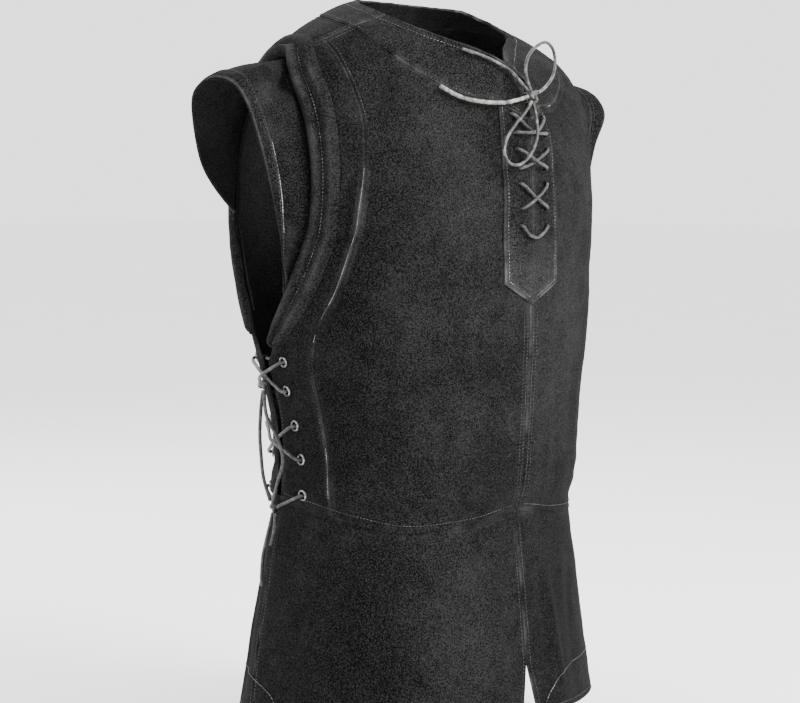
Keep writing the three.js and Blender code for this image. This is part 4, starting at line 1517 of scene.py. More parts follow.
@dataclass
class Skirt:
    """The flared skirt: two fronts with a vent between them, and the back."""

    finishes: Finishes
    half: float = SIZE.seam / 2
    vent_fade: float = 30.0

    def vent(self, turn: Array, level: Array) -> Array:
        """How far the vent moves the leather aside, in degrees.

        Args:
            turn: the signed turns of the places.
            level: the levels of the places.

        Returns:
            The degrees.
        """
        open_share = np.clip((SIZE.vent_top - level) / (SIZE.vent_top - SIZE.hem), 0, None)
        half = 0.05 + open_share * SIZE.vent_half / SIZE.degree
        return half * np.clip(1 - turn / self.vent_fade, 0, None)

    def grid(self, first: float, last: float, opening: bool) -> Array:
        """The grid of a skirt panel between two turns.

        Args:
            first: the first turn.
            last: the last turn.
            opening: whether it starts at the vent.

        Returns:
            The grid.
        """
        s, t = steps((last - first) * SIZE.degree), steps(205)
        turn = mix(first, last, s)[None, :] + 0 * t[:, None]
        level = mix(GARMENT.waist_at(turn) - self.half, GARMENT.hem_at(turn), t[:, None])
        if opening:
            turn = turn + self.vent(turn, level)
        return pair(turn, level)

    def build(self) -> list[bpy.types.Object]:
        """Make the three panels.

        Returns:
            The panels.
        """
        edge = SIZE.slit_turn
        front = self.grid(0, edge - 0.05, True)
        made = [
            panel("leather_skirt_front_" + side.word, front, side, "skirt_front_" + side.word)
            for side in Side
        ]
        back = self.grid(edge + 0.05, 360 - edge - 0.05, False)
        made.append(panel("leather_skirt_back", back, None, "skirt_back"))
        return [dress(piece, self.finishes.panel) for piece in made]

    def stitch(self) -> bpy.types.Object:
        """Topstitch the hem, the vent and the side seams.

        Returns:
            The stitches.
        """
        rows = Stitching("stitches_skirt")
        for sign in (-1, 1):
            turn = np.linspace(4, 108, 260)
            rows.along(pair(turn, GARMENT.hem_at(turn) + 6), -0.2, sign)
            level = np.linspace(-492, -672, 90)
            rows.along(pair(self.vent(1.3, level) + 1.4, level), -0.2, sign)
            for turn in (SIZE.slit_turn - 1.6, SIZE.slit_turn + 1.6):
                rows.along(pair(turn, np.linspace(-478, -672, 90)), -0.2, sign)
        turn = np.linspace(116, 244, 260)
        rows.along(pair(turn, GARMENT.hem_at(turn) + 6), -0.2)
        return rows.finish(self.finishes.faint)

    def arcs(self) -> bpy.types.Object:
        """Sew the facing's line, which rises in an arc from the vent and from the side seams.

        Returns:
            The stitches.
        """
        rows = Stitching("stitches_hem_arcs")
        rows.length, rows.pitch = 3.5, 3.9
        front = Seam(
            (5.5, -674), (7, -665), (9.5, -657), (15.5, -646), (32.5, -640), (60, -638), (82, -643),
            (92, -654), (96, -674),
        )
        back = Seam(
            (96.5, -674), (98, -661), (100.5, -652), (106.5, -645), (119, -640), (150, -638), (179.5, -638)
        )
        share = np.linspace(0, 1, 320)
        for sign in (-1, 1):
            rows.along(front.at(share) + (0, min(0, sign) * 16), 0.1, sign)
            rows.along(back.at(share), 0.1, sign)
        return rows.finish(self.finishes.thread)


@dataclass
class Neckband:
    """The neckband: two fronts and a back, double stitched at the seam."""

    finishes: Finishes
    proud: float = 0.9

    def grid(self, first: float, last: float) -> Array:
        """The grid of a neckband piece between two turns.

        Args:
            first: the first turn.
            last: the last turn.

        Returns:
            The grid.
        """
        s = steps((last - first) * 2.2)
        t = np.concatenate([[0, 0.02, 0.05], np.linspace(0.09, 0.91, 13), [0.95, 0.98, 1]])
        turn = mix(first, last, s)
        foot = GARMENT.neck_at(turn)[None, :] + SIZE.seam / 2
        return pair(turn[None, :], mix(0.0, 1.0, t)[:, None] * foot)

    def lift(self, turn: Array, level: Array) -> Array:
        """How far the band lies out of the panels, the same at every place."""
        return self.proud + 0 * turn

    def build(self) -> list[bpy.types.Object]:
        """Make the three pieces.

        Returns:
            The pieces.
        """
        slit = float(Bodice.slit(GARMENT.neck_at(0)))
        front, back = self.grid(slit, 85.95), self.grid(86.15, 273.85)
        made = []
        for side in Side:
            node = "neckband_front_" + side.word
            made.append(panel("leather_" + node, front, side, node, self.lift))
        made.append(panel("leather_neckband_back", back, None, "neckband_back", self.lift))
        return [dress(piece, self.finishes.trim) for piece in made]

    def stitch(self) -> bpy.types.Object:
        """Sew one row beside the neck edge and a double row at the seam.

        Returns:
            The stitches.
        """
        rows = Stitching("stitches_neckband")
        turn = np.linspace(4, 356, 1200)
        rows.along(pair(turn, -8.5), self.proud - 0.2)
        for aside, out in ((2.6, self.proud - 0.3), (-2.6, -0.5)):
            rows.along(pair(turn, GARMENT.neck_at(turn) + aside), out)
        return rows.finish(self.finishes.thread)


@dataclass
class Placket:
    """The pointed tab over the front, slit from the neck and topstitched."""

    finishes: Finishes
    top: float = -57.0
    tip: float = -278.0
    corner: float = -258.0
    outline: Table = field(
        default_factory=lambda: Table(
            "at turn", (-258, 10.6), (-216, 10.7), (-158, 10.9), (-122, 12.4), (-91, 14.2), (-57, 16.8)
        )
    )

    def edge(self, level: Array) -> Array:
        """The turn of the tab's edge at a level."""
        return self.outline.read(level, "turn")

    def half_grid(self) -> Array:
        """The grid of one half of the tab.

        Returns:
            Its turns and levels.
        """
        s, t = steps(40, (0.8, 1.8, 3.2, 4.6, 6.2)), steps(215)
        level = mix(self.top, self.corner, t)
        share = s[None, :]
        drop = smooth(0.35, 1, t)[:, None] * (1 - share) * (self.tip - self.corner)
        tuck = GARMENT.neck_at(share * self.edge(level[:1])) - 1.6 - self.top
        up = tuck * (1 - smooth(0, 0.16, t))[:, None]
        rows = level[:, None] + drop + up
        inside = 0.03 + 0.1 * (Bodice.slit(rows) - 0.05)
        return pair(mix(inside, self.edge(level)[:, None], share), rows)

    def build(self) -> list[bpy.types.Object]:
        """Make the tab's two halves and punch them.

        Returns:
            The halves.
        """
        made = []
        grid = self.half_grid()
        turn, level = grid[..., 0], grid[..., 1]
        closed = level < SIZE.slit_end
        low = 0.35 + 0.75 * smooth(-215, -262, level)
        rubbed = np.where(closed & (turn < 3), 0.06, low)
        paler = 0.3 * smooth(-205, -262, level)
        for side in Side:
            place = side.value * turn, level
            relief = RELIEF.at(*place)
            base = GARMENT.surface(*place)
            across, along = edge_distance(base)
            near = np.minimum(across, along)
            beside_slit = closed & (turn < self.edge(level) / 2)
            roll = np.where(beside_slit, -0.22 * np.exp(-((across / 1.2) ** 2)), edge_roll(across))
            roll = roll + edge_roll(along)
            outer = GARMENT.place(*place, relief + SIZE.lift + SIZE.trim_wall + roll)
            inner = GARMENT.place(*place, relief + SIZE.lift)
            wear = rubbed * (0.95 * np.exp(-((near / 2.0) ** 2)) + 0.2 * hill(near, 5, 2))
            # painted light and shade with the hide's tone; the tab's top, under the bow, is painted darker as shade
            shade = Hide.shade(*place) + paler - 0.25 * smooth(-240, -190, level)
            piece = leather_shell("leather_placket_" + side.word, inner, outer, wear, shade)
            seat(piece, "placket", base, ("leather_front_centre_" + side.word,))
            punch(piece, FrontLacing.holes * (side.value, 1), FrontLacing.hole)
            made.append(dress(piece, self.finishes.trim))
        return made

    def stitch(self) -> bpy.types.Object:
        """Sew a row round the tab's edge.

        Returns:
            The stitches.
        """
        rows = Stitching("stitches_placket")
        out = SIZE.lift + SIZE.trim_wall - 0.2
        for sign in (-1, 1):
            level = np.linspace(-58, self.corner + 2.6, 120)
            side_row = pair(self.edge(level) - 1.3, level)
            corner, tip = side_row[-1], (0.6, self.tip + 6)
            point = pair(np.linspace(corner[0], tip[0], 30), np.linspace(corner[1], tip[1], 30))
            rows.along(np.vstack([side_row, point[1:]]), out, sign)
        return rows.finish(self.finishes.thread)


@dataclass
class ArmholeBand:
    """The padded band round an armhole: a flat stitched edge and a raised fold beside it."""

    finishes: Finishes
    edge: float = -2.0
    width: float = 31.0
    end_width: float = 13.0
    end: float = 0.93
    hollow: float = 0.45
    height: Table = field(
        default_factory=lambda: Table(
            "at height",
            (0, 0), (0.04, 2.6), (0.12, 4.6), (0.22, 5.6), (0.32, 5.0), (0.40, 2.6), (0.44, 1.2), (0.50, 2.0),
            (0.62, 4.2), (0.74, 4.8), (0.86, 3.6), (0.94, 1.8), (1, 0),
        )
    )

    def width_at(self, share: Array) -> Array:
        """The band's width at a share of the armhole seam, narrower toward its ends."""
        return mix(self.width, self.end_width, np.clip((share - 0.6) / 0.4, 0, 1))

    def rows(self) -> tuple[Array, Array]:
        """The band's grid and its share across, from the opening's front over the shoulder to its back.

        Returns:
            The grid, and the share across of each column.
        """
        across = np.linspace(0, 1, 44)
        share = np.linspace(0, 1, 118) * self.end
        parts = []
        for seam, sign, order in ((ARM_FRONT, -1, share[::-1]), (ARM_BACK, 1, share[1:])):
            width = self.width_at(order)
            aside = sign * mix(self.edge, width[:, None], across[None, :])
            parts.append(seam.at(order[:, None] + 0 * aside, aside))
        return np.vstack(parts), across

    def build(self) -> list[bpy.types.Object]:
        """Make both bands.

        Returns:
            The bands.
        """
        grid, across = self.rows()
        turn, level = grid[..., 0], grid[..., 1]
        share = np.linspace(0, 1, len(grid))[:, None]
        made = []
        for side in Side:
            place = side.value * turn, level
            relief = RELIEF.at(*place)
            uneven = 1 + 0.1 * np.sin(share * 23 + side.value) + 0.06 * np.sin(share * 61)
            top = hill(share, 0.5, 0.13) * hill(across, 0.22, 0.16)[None, :]
            ridge = self.height.read(across, "height")[None, :] * uneven * (1 + 0.5 * top)
            ends = smooth(0, 0.012, share) * smooth(1, 0.988, share)
            foot = 1.0 - 0.75 * smooth(0.86, 1, across)[None, :]
            pad = SIZE.lift + foot + ridge * (0.35 + 0.65 * ends)
            outer = GARMENT.place(*place, relief + pad)
            inner = GARMENT.place(*place, relief + SIZE.lift + 0 * pad)
            # wear on the crests of the two rolls, partly a painted highlight where the light catches them
            rub = 0.30 * hill(across, 0.20, 0.10) + 0.16 * hill(across, 0.72, 0.10)
            wear = rub[None, :] * np.clip(0.25 + Hide.rub(*place), 0, 1.1)
            # painted light and shade with the hide's tone, weaker on the band and lifted a little
            shade = 0.12 + Hide.shade(*place) * 0.4
            node = "armhole_band_" + side.word
            piece = leather_shell("leather_" + node, inner, outer, wear, shade)
            seat(piece, node, GARMENT.surface(*place), ("leather_front_side_" + side.word,))
            made.append(dress(piece, self.finishes.trim))
        return made

    def stitch(self) -> bpy.types.Object:
        """Sew the row in the band's hollow.

        Returns:
            The stitches.
        """
        rows = Stitching("stitches_armholes")
        share = np.linspace(0, 1, 400) * (self.end - 0.01)
        for sign in (-1, 1):
            for seam, way in ((ARM_FRONT, -1), (ARM_BACK, 1)):
                aside = way * mix(self.edge, self.width_at(share), self.hollow)
                rows.along(seam.at(share, aside), SIZE.lift + 2.3, sign)
        return rows.finish(self.finishes.thread)


@dataclass
class ShoulderCap:
    """The short cap sleeve that comes out from under an armhole band, with its rim band."""

    finishes: Finishes
    clear: float = 3.6
    front_share: float = 0.72
    back_share: float = 0.5
    rim_share: float = 0.25
    rim_right: tuple = (
        (-206, 27, -256), (-218, 19, -214), (-237, 14, -165), (-252, 16, -118), (-261, 34, -74),
        (-264, 60, -67), (-266, 82, -80), (-259, 92, -103), (-243, 98, -140), (-216, 106, -168),
        (-184, 112, -190),
    )
    rim_left: tuple = (
        (206, 27, -256), (218, 16, -214), (237, 8, -165), (254, 6, -118), (267, 4, -86), (270, 24, -64),
        (268, 62, -63), (259, 92, -98), (243, 98, -140), (216, 106, -168), (184, 112, -190),
    )

    def middle(self, sign: int, share: Array, depth: Array) -> Array:
        """The cap's middle surface, from the armhole out to the rim.

        Args:
            sign: -1 on the wearer's right.
            share: the share of the way round the rim, from the front to the back.
            depth: the share of the way out to the rim.

        Returns:
            The points.
        """
        at = np.clip(share, 0, 1)
        right = along_curve(np.array(self.rim_right, float), at)
        tip = right if sign < 0 else along_curve(np.array(self.rim_left, float), at)
        front = ARM_FRONT.at(np.clip(mix(self.front_share, 0, share * 2), 0, 1), self.clear)
        behind = ARM_BACK.at(np.clip(mix(0, self.back_share, share * 2 - 1), 0, 1), -self.clear)
        base = np.where((share < 0.5)[..., None], front, behind)
        root = GARMENT.place(sign * base[..., 0], base[..., 1], -1.0)
        ahead = GARMENT.normal(sign * base[..., 0], base[..., 1])
        bulge = (3 + 9 * np.sin(np.pi * at))[..., None]
        knee = root + (right * (-sign, 1, 1) - root) * 0.45 + ahead * bulge
        d = depth[..., None]
        return (1 - d) ** 2 * root + 2 * d * (1 - d) * knee + d * d * tip

    def folds(self, share: Array, depth: Array) -> Array:
        """The cap's creases: a dent where it leaves the band, and soft waves towards the rim.

        Args:
            share: the share of the way round the rim, from the front to the back.
            depth: the share of the way out to the rim.

        Returns:
            The heights.
        """
        dent = -7.0 * hill(share, 0.425, 0.022) * hill(depth, 0.16, 0.17)
        dent = dent - 4.0 * hill(share, 0.54, 0.03) * hill(depth, 0.2, 0.2)
        swell = 3.4 * hill(share, 0.37, 0.035) * hill(depth, 0.2, 0.18)
        swell = swell + 3.0 * hill(share, 0.475, 0.03) * hill(depth, 0.24, 0.28)
        waves = 1.1 * np.sin(share * 31 + 1.2) * depth * hill(depth, 0.6, 0.5)
        return (dent + swell + waves) * smooth(0, 0.1, depth)

    def layer(self, sign: int, share: Array, depth: Array, out: Array) -> Array:
        """The cap's points moved out along its normals.

        Args:
            sign: -1 on the wearer's right.
            share: the share of the way round the rim, from the front to the back.
            depth: the share of the way out to the rim.
            out: how far along the normals the points lie.

        Returns:
            The points.
        """
        near = np.clip(share, 0.01, 0.99)
        along = self.middle(sign, near + 0.01, depth) - self.middle(sign, near - 0.01, depth)
        outwards = self.middle(sign, near, depth + 0.02) - self.middle(sign, near, depth - 0.02)
        normal = -sign * np.cross(along, outwards)
        normal /= np.linalg.norm(normal, axis=-1, keepdims=True)
        return self.middle(sign, share, depth) + normal * (self.folds(share, depth) + out)[..., None]

    def build(self) -> list[bpy.types.Object]:
        """Make the caps and their rim bands on both sides.

        Returns:
            The caps and bands.
        """
        made = []
        share, depth = np.meshgrid(np.linspace(0, 1, 130), np.linspace(0, 1, 34), indexing="ij")
        tail = smooth(0, 0.04, share) * smooth(1, 0.96, share)
        rough = SoftNoise(21, 9).at(share * 400, depth * 70) * 0.35
        rim_depth = mix(1 - self.rim_share, 1.0, np.linspace(0, 1, 16))
        rim_share, rim_depth = np.meshgrid(np.linspace(0, 1, 130), rim_depth, indexing="ij")
        near = np.minimum(rim_depth - (1 - self.rim_share), 1 - rim_depth) / self.rim_share
        lip = 1.3 + 1.9 * np.sqrt(np.clip(near * 5, 0, 1)) - 0.6 * hill(near, 0.16, 0.06)
        for side in Side:
            sign = side.value
            outer = self.layer(sign, share, depth, 1.0 + rough)
            inner = self.layer(sign, share, depth, -1.0 + rough)
            wear = 0.1 * hill(depth, 0.5, 0.35) * (0.5 + 0.5 * np.sin(share * 19)) * tail
            # painted light and shade: darker where the cap comes out from under the band and over its top, a little
            # lighter towards the rim
            painted_light_and_shade = 0.1 * hill(depth, 0.6, 0.4) - 0.5 * hill(depth, 0.0, 0.3) - 0.25 * hill(share, 0.5, 0.2)
            cap = leather_shell("leather_cap_" + side.word, inner, outer, wear, painted_light_and_shade)
            seat(cap, "cap_" + side.word, self.middle(sign, share, depth))
            made.append(dress(cap, self.finishes.panel))
            outer = self.layer(sign, rim_share, rim_depth, lip)
            inner = self.layer(sign, rim_share, rim_depth, 1.15 + 0 * lip)
            seam_line = np.exp(-(((rim_depth - 1 + self.rim_share) / self.rim_share / 0.08) ** 2))
            edge_line = np.exp(-(((1 - rim_depth) / self.rim_share / 0.1) ** 2))
            wear = seam_line * (0.25 + 0.75 * hill(rim_share, 0.26, 0.1)) + 0.45 * edge_line
            # painted shade over the top of the rim band
            painted_light_and_shade = -0.15 * hill(rim_share, 0.5, 0.2)
            rim = leather_shell("leather_cap_rim_" + side.word, inner, outer, wear, painted_light_and_shade)
            seat(rim, "cap_rim_" + side.word, self.middle(sign, rim_share, rim_depth), (cap.name,))
            made.append(dress(rim, self.finishes.trim))
        return made

    def stitch(self) -> bpy.types.Object:
        """Sew the row beside the rim band's inner edge.

        Returns:
            The stitches.
        """
        rows = Stitching("stitches_caps")
        share = np.linspace(0.01, 0.99, 300)
        beside, out = 0.06, 2.75
        depth = np.full(share.shape, 1 - self.rim_share + beside)
        for side in Side:
            line = self.layer(side.value, share, depth, np.full(share.shape, out))
            low = self.layer(side.value, share, depth, np.full(share.shape, out - 1))
            rows.free(line, line - low)
        return rows.finish(self.finishes.faint)


def along_curve(points: Array, share: Array) -> Array:
    """Places on a centripetal curve through points, by share of its length.

    Args:
        points: the points that it passes through.
        share: the share of the way, from 0 to 1.

    Returns:
        The places.
    """
    dense = centripetal(points, 60)
    run = np.concatenate([[0], np.cumsum(np.linalg.norm(np.diff(dense, axis=0), axis=1))])
    return np.stack([np.interp(share * run[-1], run, dense[:, k]) for k in range(3)], -1)


def centripetal(points: Array, count: int) -> Array:
    """A smooth curve through points, with even parameter steps between them.

    Args:
        points: the points that it passes.
        count: the steps between two of them.

    Returns:
        The curve's points.
    """
    p = np.vstack([2 * points[0] - points[1], points, 2 * points[-1] - points[-2]])
    made = []
    for a, b, c, d in zip(p[:-3], p[1:-2], p[2:-1], p[3:]):
        gaps = [max(np.linalg.norm(v) ** 0.5, 1e-4) for v in (b - a, c - b, d - c)]
        v1 = ((b - a) / gaps[0] - (c - a) / (gaps[0] + gaps[1]) + (c - b) / gaps[1]) * gaps[1]
        v2 = ((c - b) / gaps[1] - (d - b) / (gaps[1] + gaps[2]) + (d - c) / gaps[2]) * gaps[1]
        t = np.linspace(0, 1, count + 1)[:-1, None]
        made.append((2 * b - 2 * c + v1 + v2) * t**3 + (-3 * b + 3 * c - 2 * v1 - v2) * t**2 + v1 * t + b)
    return np.vstack([*made, points[-1:]])


@dataclass(frozen=True)
class Knot:
    """A tied knot of lace at a place of the surface."""

    turn: float
    level: float
    out: float
    size: float
    spread: float = 0.62

    def middle(self, sign: int = 1) -> Array:
        """The knot's middle."""
        return GARMENT.place(sign * self.turn, self.level, self.out)

    def seat(self, toward: Array, sign: int = 1) -> Array:
        """Where a lace that comes from a point meets the knot."""
        way = toward - self.middle(sign)
        return self.middle(sign) + way / np.linalg.norm(way) * (self.size + 0.3)

    def build(self, name: str, node: str, sign: int, material: bpy.types.Material) -> bpy.types.Object:
        """Make the knot as a tightly wound closed lace.

        Args:
            name: the piece's name.
            node: the CAD node that it replaces.
            sign: -1 on the wearer's right.
            material: the lace's material.

        Returns:
            The piece.
        """
        t = circle(90)
        right, low = np.sin(t) + 2 * np.sin(2 * t), np.cos(t) - 2 * np.cos(2 * t)
        wound = np.stack([right, low, -1.2 * np.sin(3 * t)], -1) * (self.size / 3 * self.spread)
        out, across, up = local_frame(sign * self.turn, self.level)
        line = self.middle(sign) - wound[:, :1] * across - wound[:, 1:2] * up + wound[:, 2:] * out
        made = lace_curve(name, line, material, SIZE.lace * 0.84, cyclic=True)
        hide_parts(node)
        return made


def lace_curve(
    name: str, line: Array, material: bpy.types.Material, diameter: float, cyclic: bool = False
) -> bpy.types.Object:
    """Make a lace that follows a line.

    Args:
        name: the piece's name.
        line: the points that it follows, in millimetres.
        material: its material.
        diameter: its diameter.
        cyclic: whether it closes on itself.

    Returns:
        The piece.
    """
    curve = bpy.data.curves.new(name, "CURVE")
    curve.dimensions = "3D"
    curve.bevel_depth = 1
    curve.bevel_resolution = 3
    curve.use_fill_caps = not cyclic
    spline = curve.splines.new("POLY")
    spline.points.add(len(line) - 1)
    spline.points.foreach_set("co", np.hstack([line * MM, np.ones((len(line), 1))]).ravel())
    spline.points.foreach_set("radius", np.full(len(line), diameter / 2 * MM))
    spline.use_cyclic_u = cyclic
    spline.use_smooth = True
    made = bpy.data.objects.new(name, curve)
    bpy.context.scene.collection.objects.link(made)
    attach(made, BODY)
    return dress(made, material)


def free_lace(
    name: str, points: Array, material: bpy.types.Material, diameter: float = SIZE.lace_drawn
) -> bpy.types.Object:
    """Make a free lace that replaces the CAD node of the same name, and log its length.

    Args:
        name: the CAD node's name.
        points: the points that it passes.
        material: its material.
        diameter: its diameter.

    Returns:
        The piece.
    """
    line = centripetal(points, 12)
    made = lace_curve("lace_" + name, line, material, diameter)
    length = np.linalg.norm(np.diff(line, axis=0), axis=1).sum() * MM
    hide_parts(name)
    LOG.info("%s: %.0f mm", name, length / MM)
    return made


def on_surface(rows: Sequence[tuple[float, float, float]], sign: int = 1) -> Array:
    """Points in space of rows of turn, level and distance out."""
    data = np.array(rows, float)
    return GARMENT.place(sign * data[:, 0], data[:, 1], data[:, 2])


@dataclass
class FrontLacing:
    """The lace of the front slit, with its bow at the neck."""

    finishes: Finishes
    # turn and level of the holes on the wearer's left, from the top down, and their radius
    holes = np.array(
        [(10.6, -61), (8.7, -82), (7.4, -102), (6, -126), (5.5, -146.5), (4.9, -179.5), (4.9, -203)], float
    )
    hole = 2.7
    # how far out of the panels the lace runs
    high = SIZE.lift + SIZE.trim_wall + SIZE.lace / 2 + 0.3
    deep = -(SIZE.wall + SIZE.lace / 2 + 0.5)

    def strand(self, side: int, over: bool) -> list[Array]:
        """The route of one end of the lace, from the lowest row up to the knot.

        Args:
            side: -1 if it starts on the wearer's right.
            over: whether it passes over the other end where they cross.

        Returns:
            Its points.
        """
        high, deep = self.high, self.deep
        crossing = high + (SIZE.lace + 0.2 if over else 0)
        points = []
        for row in (5, 3, 1):
            upper, lower = self.holes[row] * (side, 1), self.holes[row + 1] * (side, 1)
            points += [on_leather(*lower, high), on_leather(*lower, deep)]
            points += [on_leather(*upper, deep), on_leather(*upper, high)]
            points.append(on_leather(0, self.holes[row - 1 : row + 1, 1].mean(), crossing))
            side = -side
        top = self.holes[0] * (side, 1)
        points += [on_leather(*top, high), on_leather(*top, deep), on_leather(side * 5, -30, deep - 2)]
        level = -17.5 if over else -27
        return points + [on_leather(side * 0.2, level, deep + 2), on_leather(side * 0.1, level, 1.4)]

    def build(self) -> list[bpy.types.Object]:
        """Make the lace, the bow and its ends.

        Returns:
            The pieces.
        """
        bar = ((-2.6, -211, 0.8), (0, -214, 1.2), (2.6, -211, 0.8))
        arc = [GARMENT.place(turn, level, self.high + out) for turn, level, out in bar]
        route = np.array([*self.strand(-1, True)[::-1], *arc, *self.strand(1, False)])
        # the drawn lace takes the shaded copy of the lace leather
        lace = lace_curve("lace_front", centripetal(route, 8), self.finishes.tight, SIZE.lace * 0.84)
        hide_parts("front_lace")
        knot = Knot(-1, -22, 8.8, 7, 0.84)
        up = np.array(
            [(-9, -110, -74), (-17, -112, -65), (-21, -113, -53), (-17, -114, -41), (-6, -115, -32),
             (8, -115, -28), (20, -114, -34), (25, -113, -47), (21, -113, -60), (11, -111, -71),
             (3, -109, -76)], float
        )
        down = np.array(
            [(-9, -110, -88), (-20, -111, -96), (-34, -111, -107), (-46, -110, -121), (-49, -110, -134),
             (-41, -111, -144), (-28, -113.5, -144), (-16, -116, -134), (-7, -116, -119), (-4, -113.5, -104),
             (-4, -110, -92)], float
        )
        for loop in (up, down):
            loop[0], loop[-1] = knot.seat(loop[0]), knot.seat(loop[-1])
        neck = on_surface(
            [(-4.7, -18, 8), (-8, -14, 7), (-14, -11, 6), (-22, -10, 5), (-31, -10, 4.6), (-40, -11, 4.4)]
        )
        front = on_surface(
            [(-4.9, -28, 8.4), (-9.6, -41, 9), (-16.2, -56, 8), (-24, -63.5, 6), (-33.2, -67.5, 4.8),
             (-43, -64, 4.4)]
        )
        neck[0], front[0] = knot.seat(neck[0]), knot.seat(front[0])
        # the bow's front end takes the lit copy of the lace leather, the loops, knot and neck end the dimmer one
        return [
            lace,
            knot.build("knot_bow", "bow_knot", 1, self.finishes.loop),
            free_lace("bow_loop_up", up, self.finishes.loop, 3.1),
            free_lace("bow_loop_down", down, self.finishes.loop, 3.1),
            free_lace("bow_end_neck", neck, self.finishes.loop, 3.0),
            free_lace("bow_end_front", front, self.finishes.lace, 4.0),
        ]


@dataclass
class SideLacing:
    """The lace, knots and eyelets of a side opening."""

    finishes: Finishes
    side: Side
    ring_out: float = 5.5
    ring_in: float = 3.6
    # turns of the front and the back edge's eyelets and their level, from the top down, and the holes' radius
    rows = np.array(
        [(97, 128, -331), (99, 126, -359), (97.5, 127, -392), (95, 129, -424), (93, 131, -458)], float
    )
    hole = 3.4
    deep = -(SIZE.wall + SIZE.lace / 2 + 1)

    def at(self, turn: float, level: float, out: float) -> Array:
        """A point at a distance out of the leather, on this lacing's side."""
        return on_leather(self.side.value * turn, level, out)

    def strand(self, edge: int, over: bool) -> list[Array]:
        """The route of one end of the lace, from the top row down to the lower knot.

        Args:
            edge: 0 if it starts on the opening's front edge, 1 on its back edge.
            over: whether it passes over the other end where they cross.

        Returns:
            Its points.
        """
        high, deep, centre = SIZE.lace / 2 + 1.6, self.deep, SIZE.slit_turn
        lift = SIZE.lace + 0.2 if over else 0.0
        points = []
        for row in (0, 2):
            turn, level = self.rows[row, [edge, 2]]
            low_turn, low = self.rows[row + 1, [1 - edge, 2]]
            middle = (level + low) / 2
            points += [self.at(turn, level, deep), self.at(turn, level, high)]
            points.append(self.at((turn + centre) / 2, (level + middle) / 2, high + lift / 3))
            points.append(self.at(centre, middle, high + lift))
            points.append(self.at((low_turn + centre) / 2, (low + middle) / 2, high + lift / 3))
            points += [self.at(low_turn, low, high), self.at(low_turn, low, deep)]
            edge = 1 - edge
        turn, level = self.rows[4, [edge, 2]]
        points += [self.at(turn, level, deep), self.at(turn, level, high)]
        aside = -2.6 if edge == 0 else 2.6
        points.append(self.at(centre - 2 + aside * 2.2, -468, high + 0.6))
        return points + [GARMENT.place(self.side.value * (centre - 2 + aside), -471, 6.5)]

    def eyelets(self, edge: int) -> bpy.types.Object:
        """The metal rings of one edge, joined into one piece.

        Args:
            edge: 0 for the opening's front edge, 1 for its back edge.

        Returns:
            The piece.
        """
        word = ("front", "back")[edge]
        profile = [
            (self.ring_in, -0.2), (self.ring_in - 0.1, 0.5), (self.ring_in + 0.3, 1.15),
            (self.ring_in + 0.9, 1.5), (self.ring_out - 0.9, 1.35), (self.ring_out - 0.25, 0.9),
            (self.ring_out, 0.3), (self.ring_out - 0.1, -0.2),
        ]
        sides, count = 32, len(profile)
        points, faces = [], []
        for row in self.rows:
            turn, level = self.side.value * row[edge], row[2]
            out, across, up = local_frame(turn, level)
            foot = on_leather(turn, level, 0)
            base = len(points)
            for angle in circle(sides):
                arm = math.cos(angle) * across + math.sin(angle) * up
                points += [foot + arm * r + out * h for r, h in profile]
            for k in range(sides):
                here, after = base + k * count, base + (k + 1) % sides * count
                for j in range(count):
                    above = (j + 1) % count
                    faces.append([here + j, after + j, after + above, here + above])
        made = new_object("eyelets_" + word + "_" + self.side.word, np.array(points), faces)
        made.data.shade_smooth()
        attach(made, BODY)
        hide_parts(*[f"eyelet_{word}_{self.side.word}_{i}" for i in range(1, 6)])
        return dress(made, self.finishes.metal)

    def build(self) -> list[bpy.types.Object]:
        """Make the lace, its knots, slack strands and ends, and the eyelets.

        Returns:
            The pieces.
        """
        sign, word = self.side.value, self.side.word
        upper, lower = Knot(SIZE.slit_turn, -352.8, 6, 6), Knot(SIZE.slit_turn - 2, -472, 8, 6.5)
        bar = GARMENT.place(sign * SIZE.slit_turn, self.rows[0, 2], self.deep)
        route = np.array([*self.strand(0, True)[::-1], bar, *self.strand(1, False)])
        route[0], route[-1] = lower.seat(route[0], sign), lower.seat(route[-1], sign)
        lace = lace_curve("lace_side_" + word, centripetal(route, 8), self.finishes.tight, SIZE.lace * 0.84)
        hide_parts("side_lace_" + word)
        slack_back = on_surface(
            [(112.9, -359.8, 8), (113.8, -369, 11), (115, -384, 14), (117.5, -403, 15), (118, -424, 14.5),
             (115, -445, 13), (111.7, -464, 10.5)], sign
        )
        slack_front = on_surface(
            [(110.8, -359.6, 8.5), (109.8, -370, 12), (108, -384, 14), (102.6, -402, 13.5), (99.4, -424, 13),
             (102, -446, 13), (108.4, -464.5, 11)], sign
        )
        for slack in (slack_back, slack_front):
            slack[0], slack[-1] = upper.seat(slack[0], sign), lower.seat(slack[-1], sign)
        long_end = on_surface(
            [(110.6, -480, 8.5), (111.6, -492, 7.5), (113.5, -508, 6.5), (114.5, -524, 6.5), (113, -540, 6.5),
             (111.5, -551, 6.5)], sign
        )
        short_end = on_surface(
            [(108.2, -480, 8.5), (107.4, -488, 7.8), (107, -499, 6.8), (108, -511, 6.4)], sign
        )
        long_end[0], short_end[0] = lower.seat(long_end[0], sign), lower.seat(short_end[0], sign)
        # the shaded copy of the lace leather
        material = self.finishes.tight
        return [
            lace,
            upper.build("knot_upper_" + word, "upper_knot_" + word, sign, material),
            lower.build("knot_lower_" + word, "lower_knot_" + word, sign, material),
            free_lace("slack_back_" + word, slack_back, material),
            free_lace("slack_front_" + word, slack_front, material),
            free_lace("end_long_" + word, long_end, material),
            free_lace("end_short_" + word, short_end, material),
            self.eyelets(0),
            self.eyelets(1),
        ]


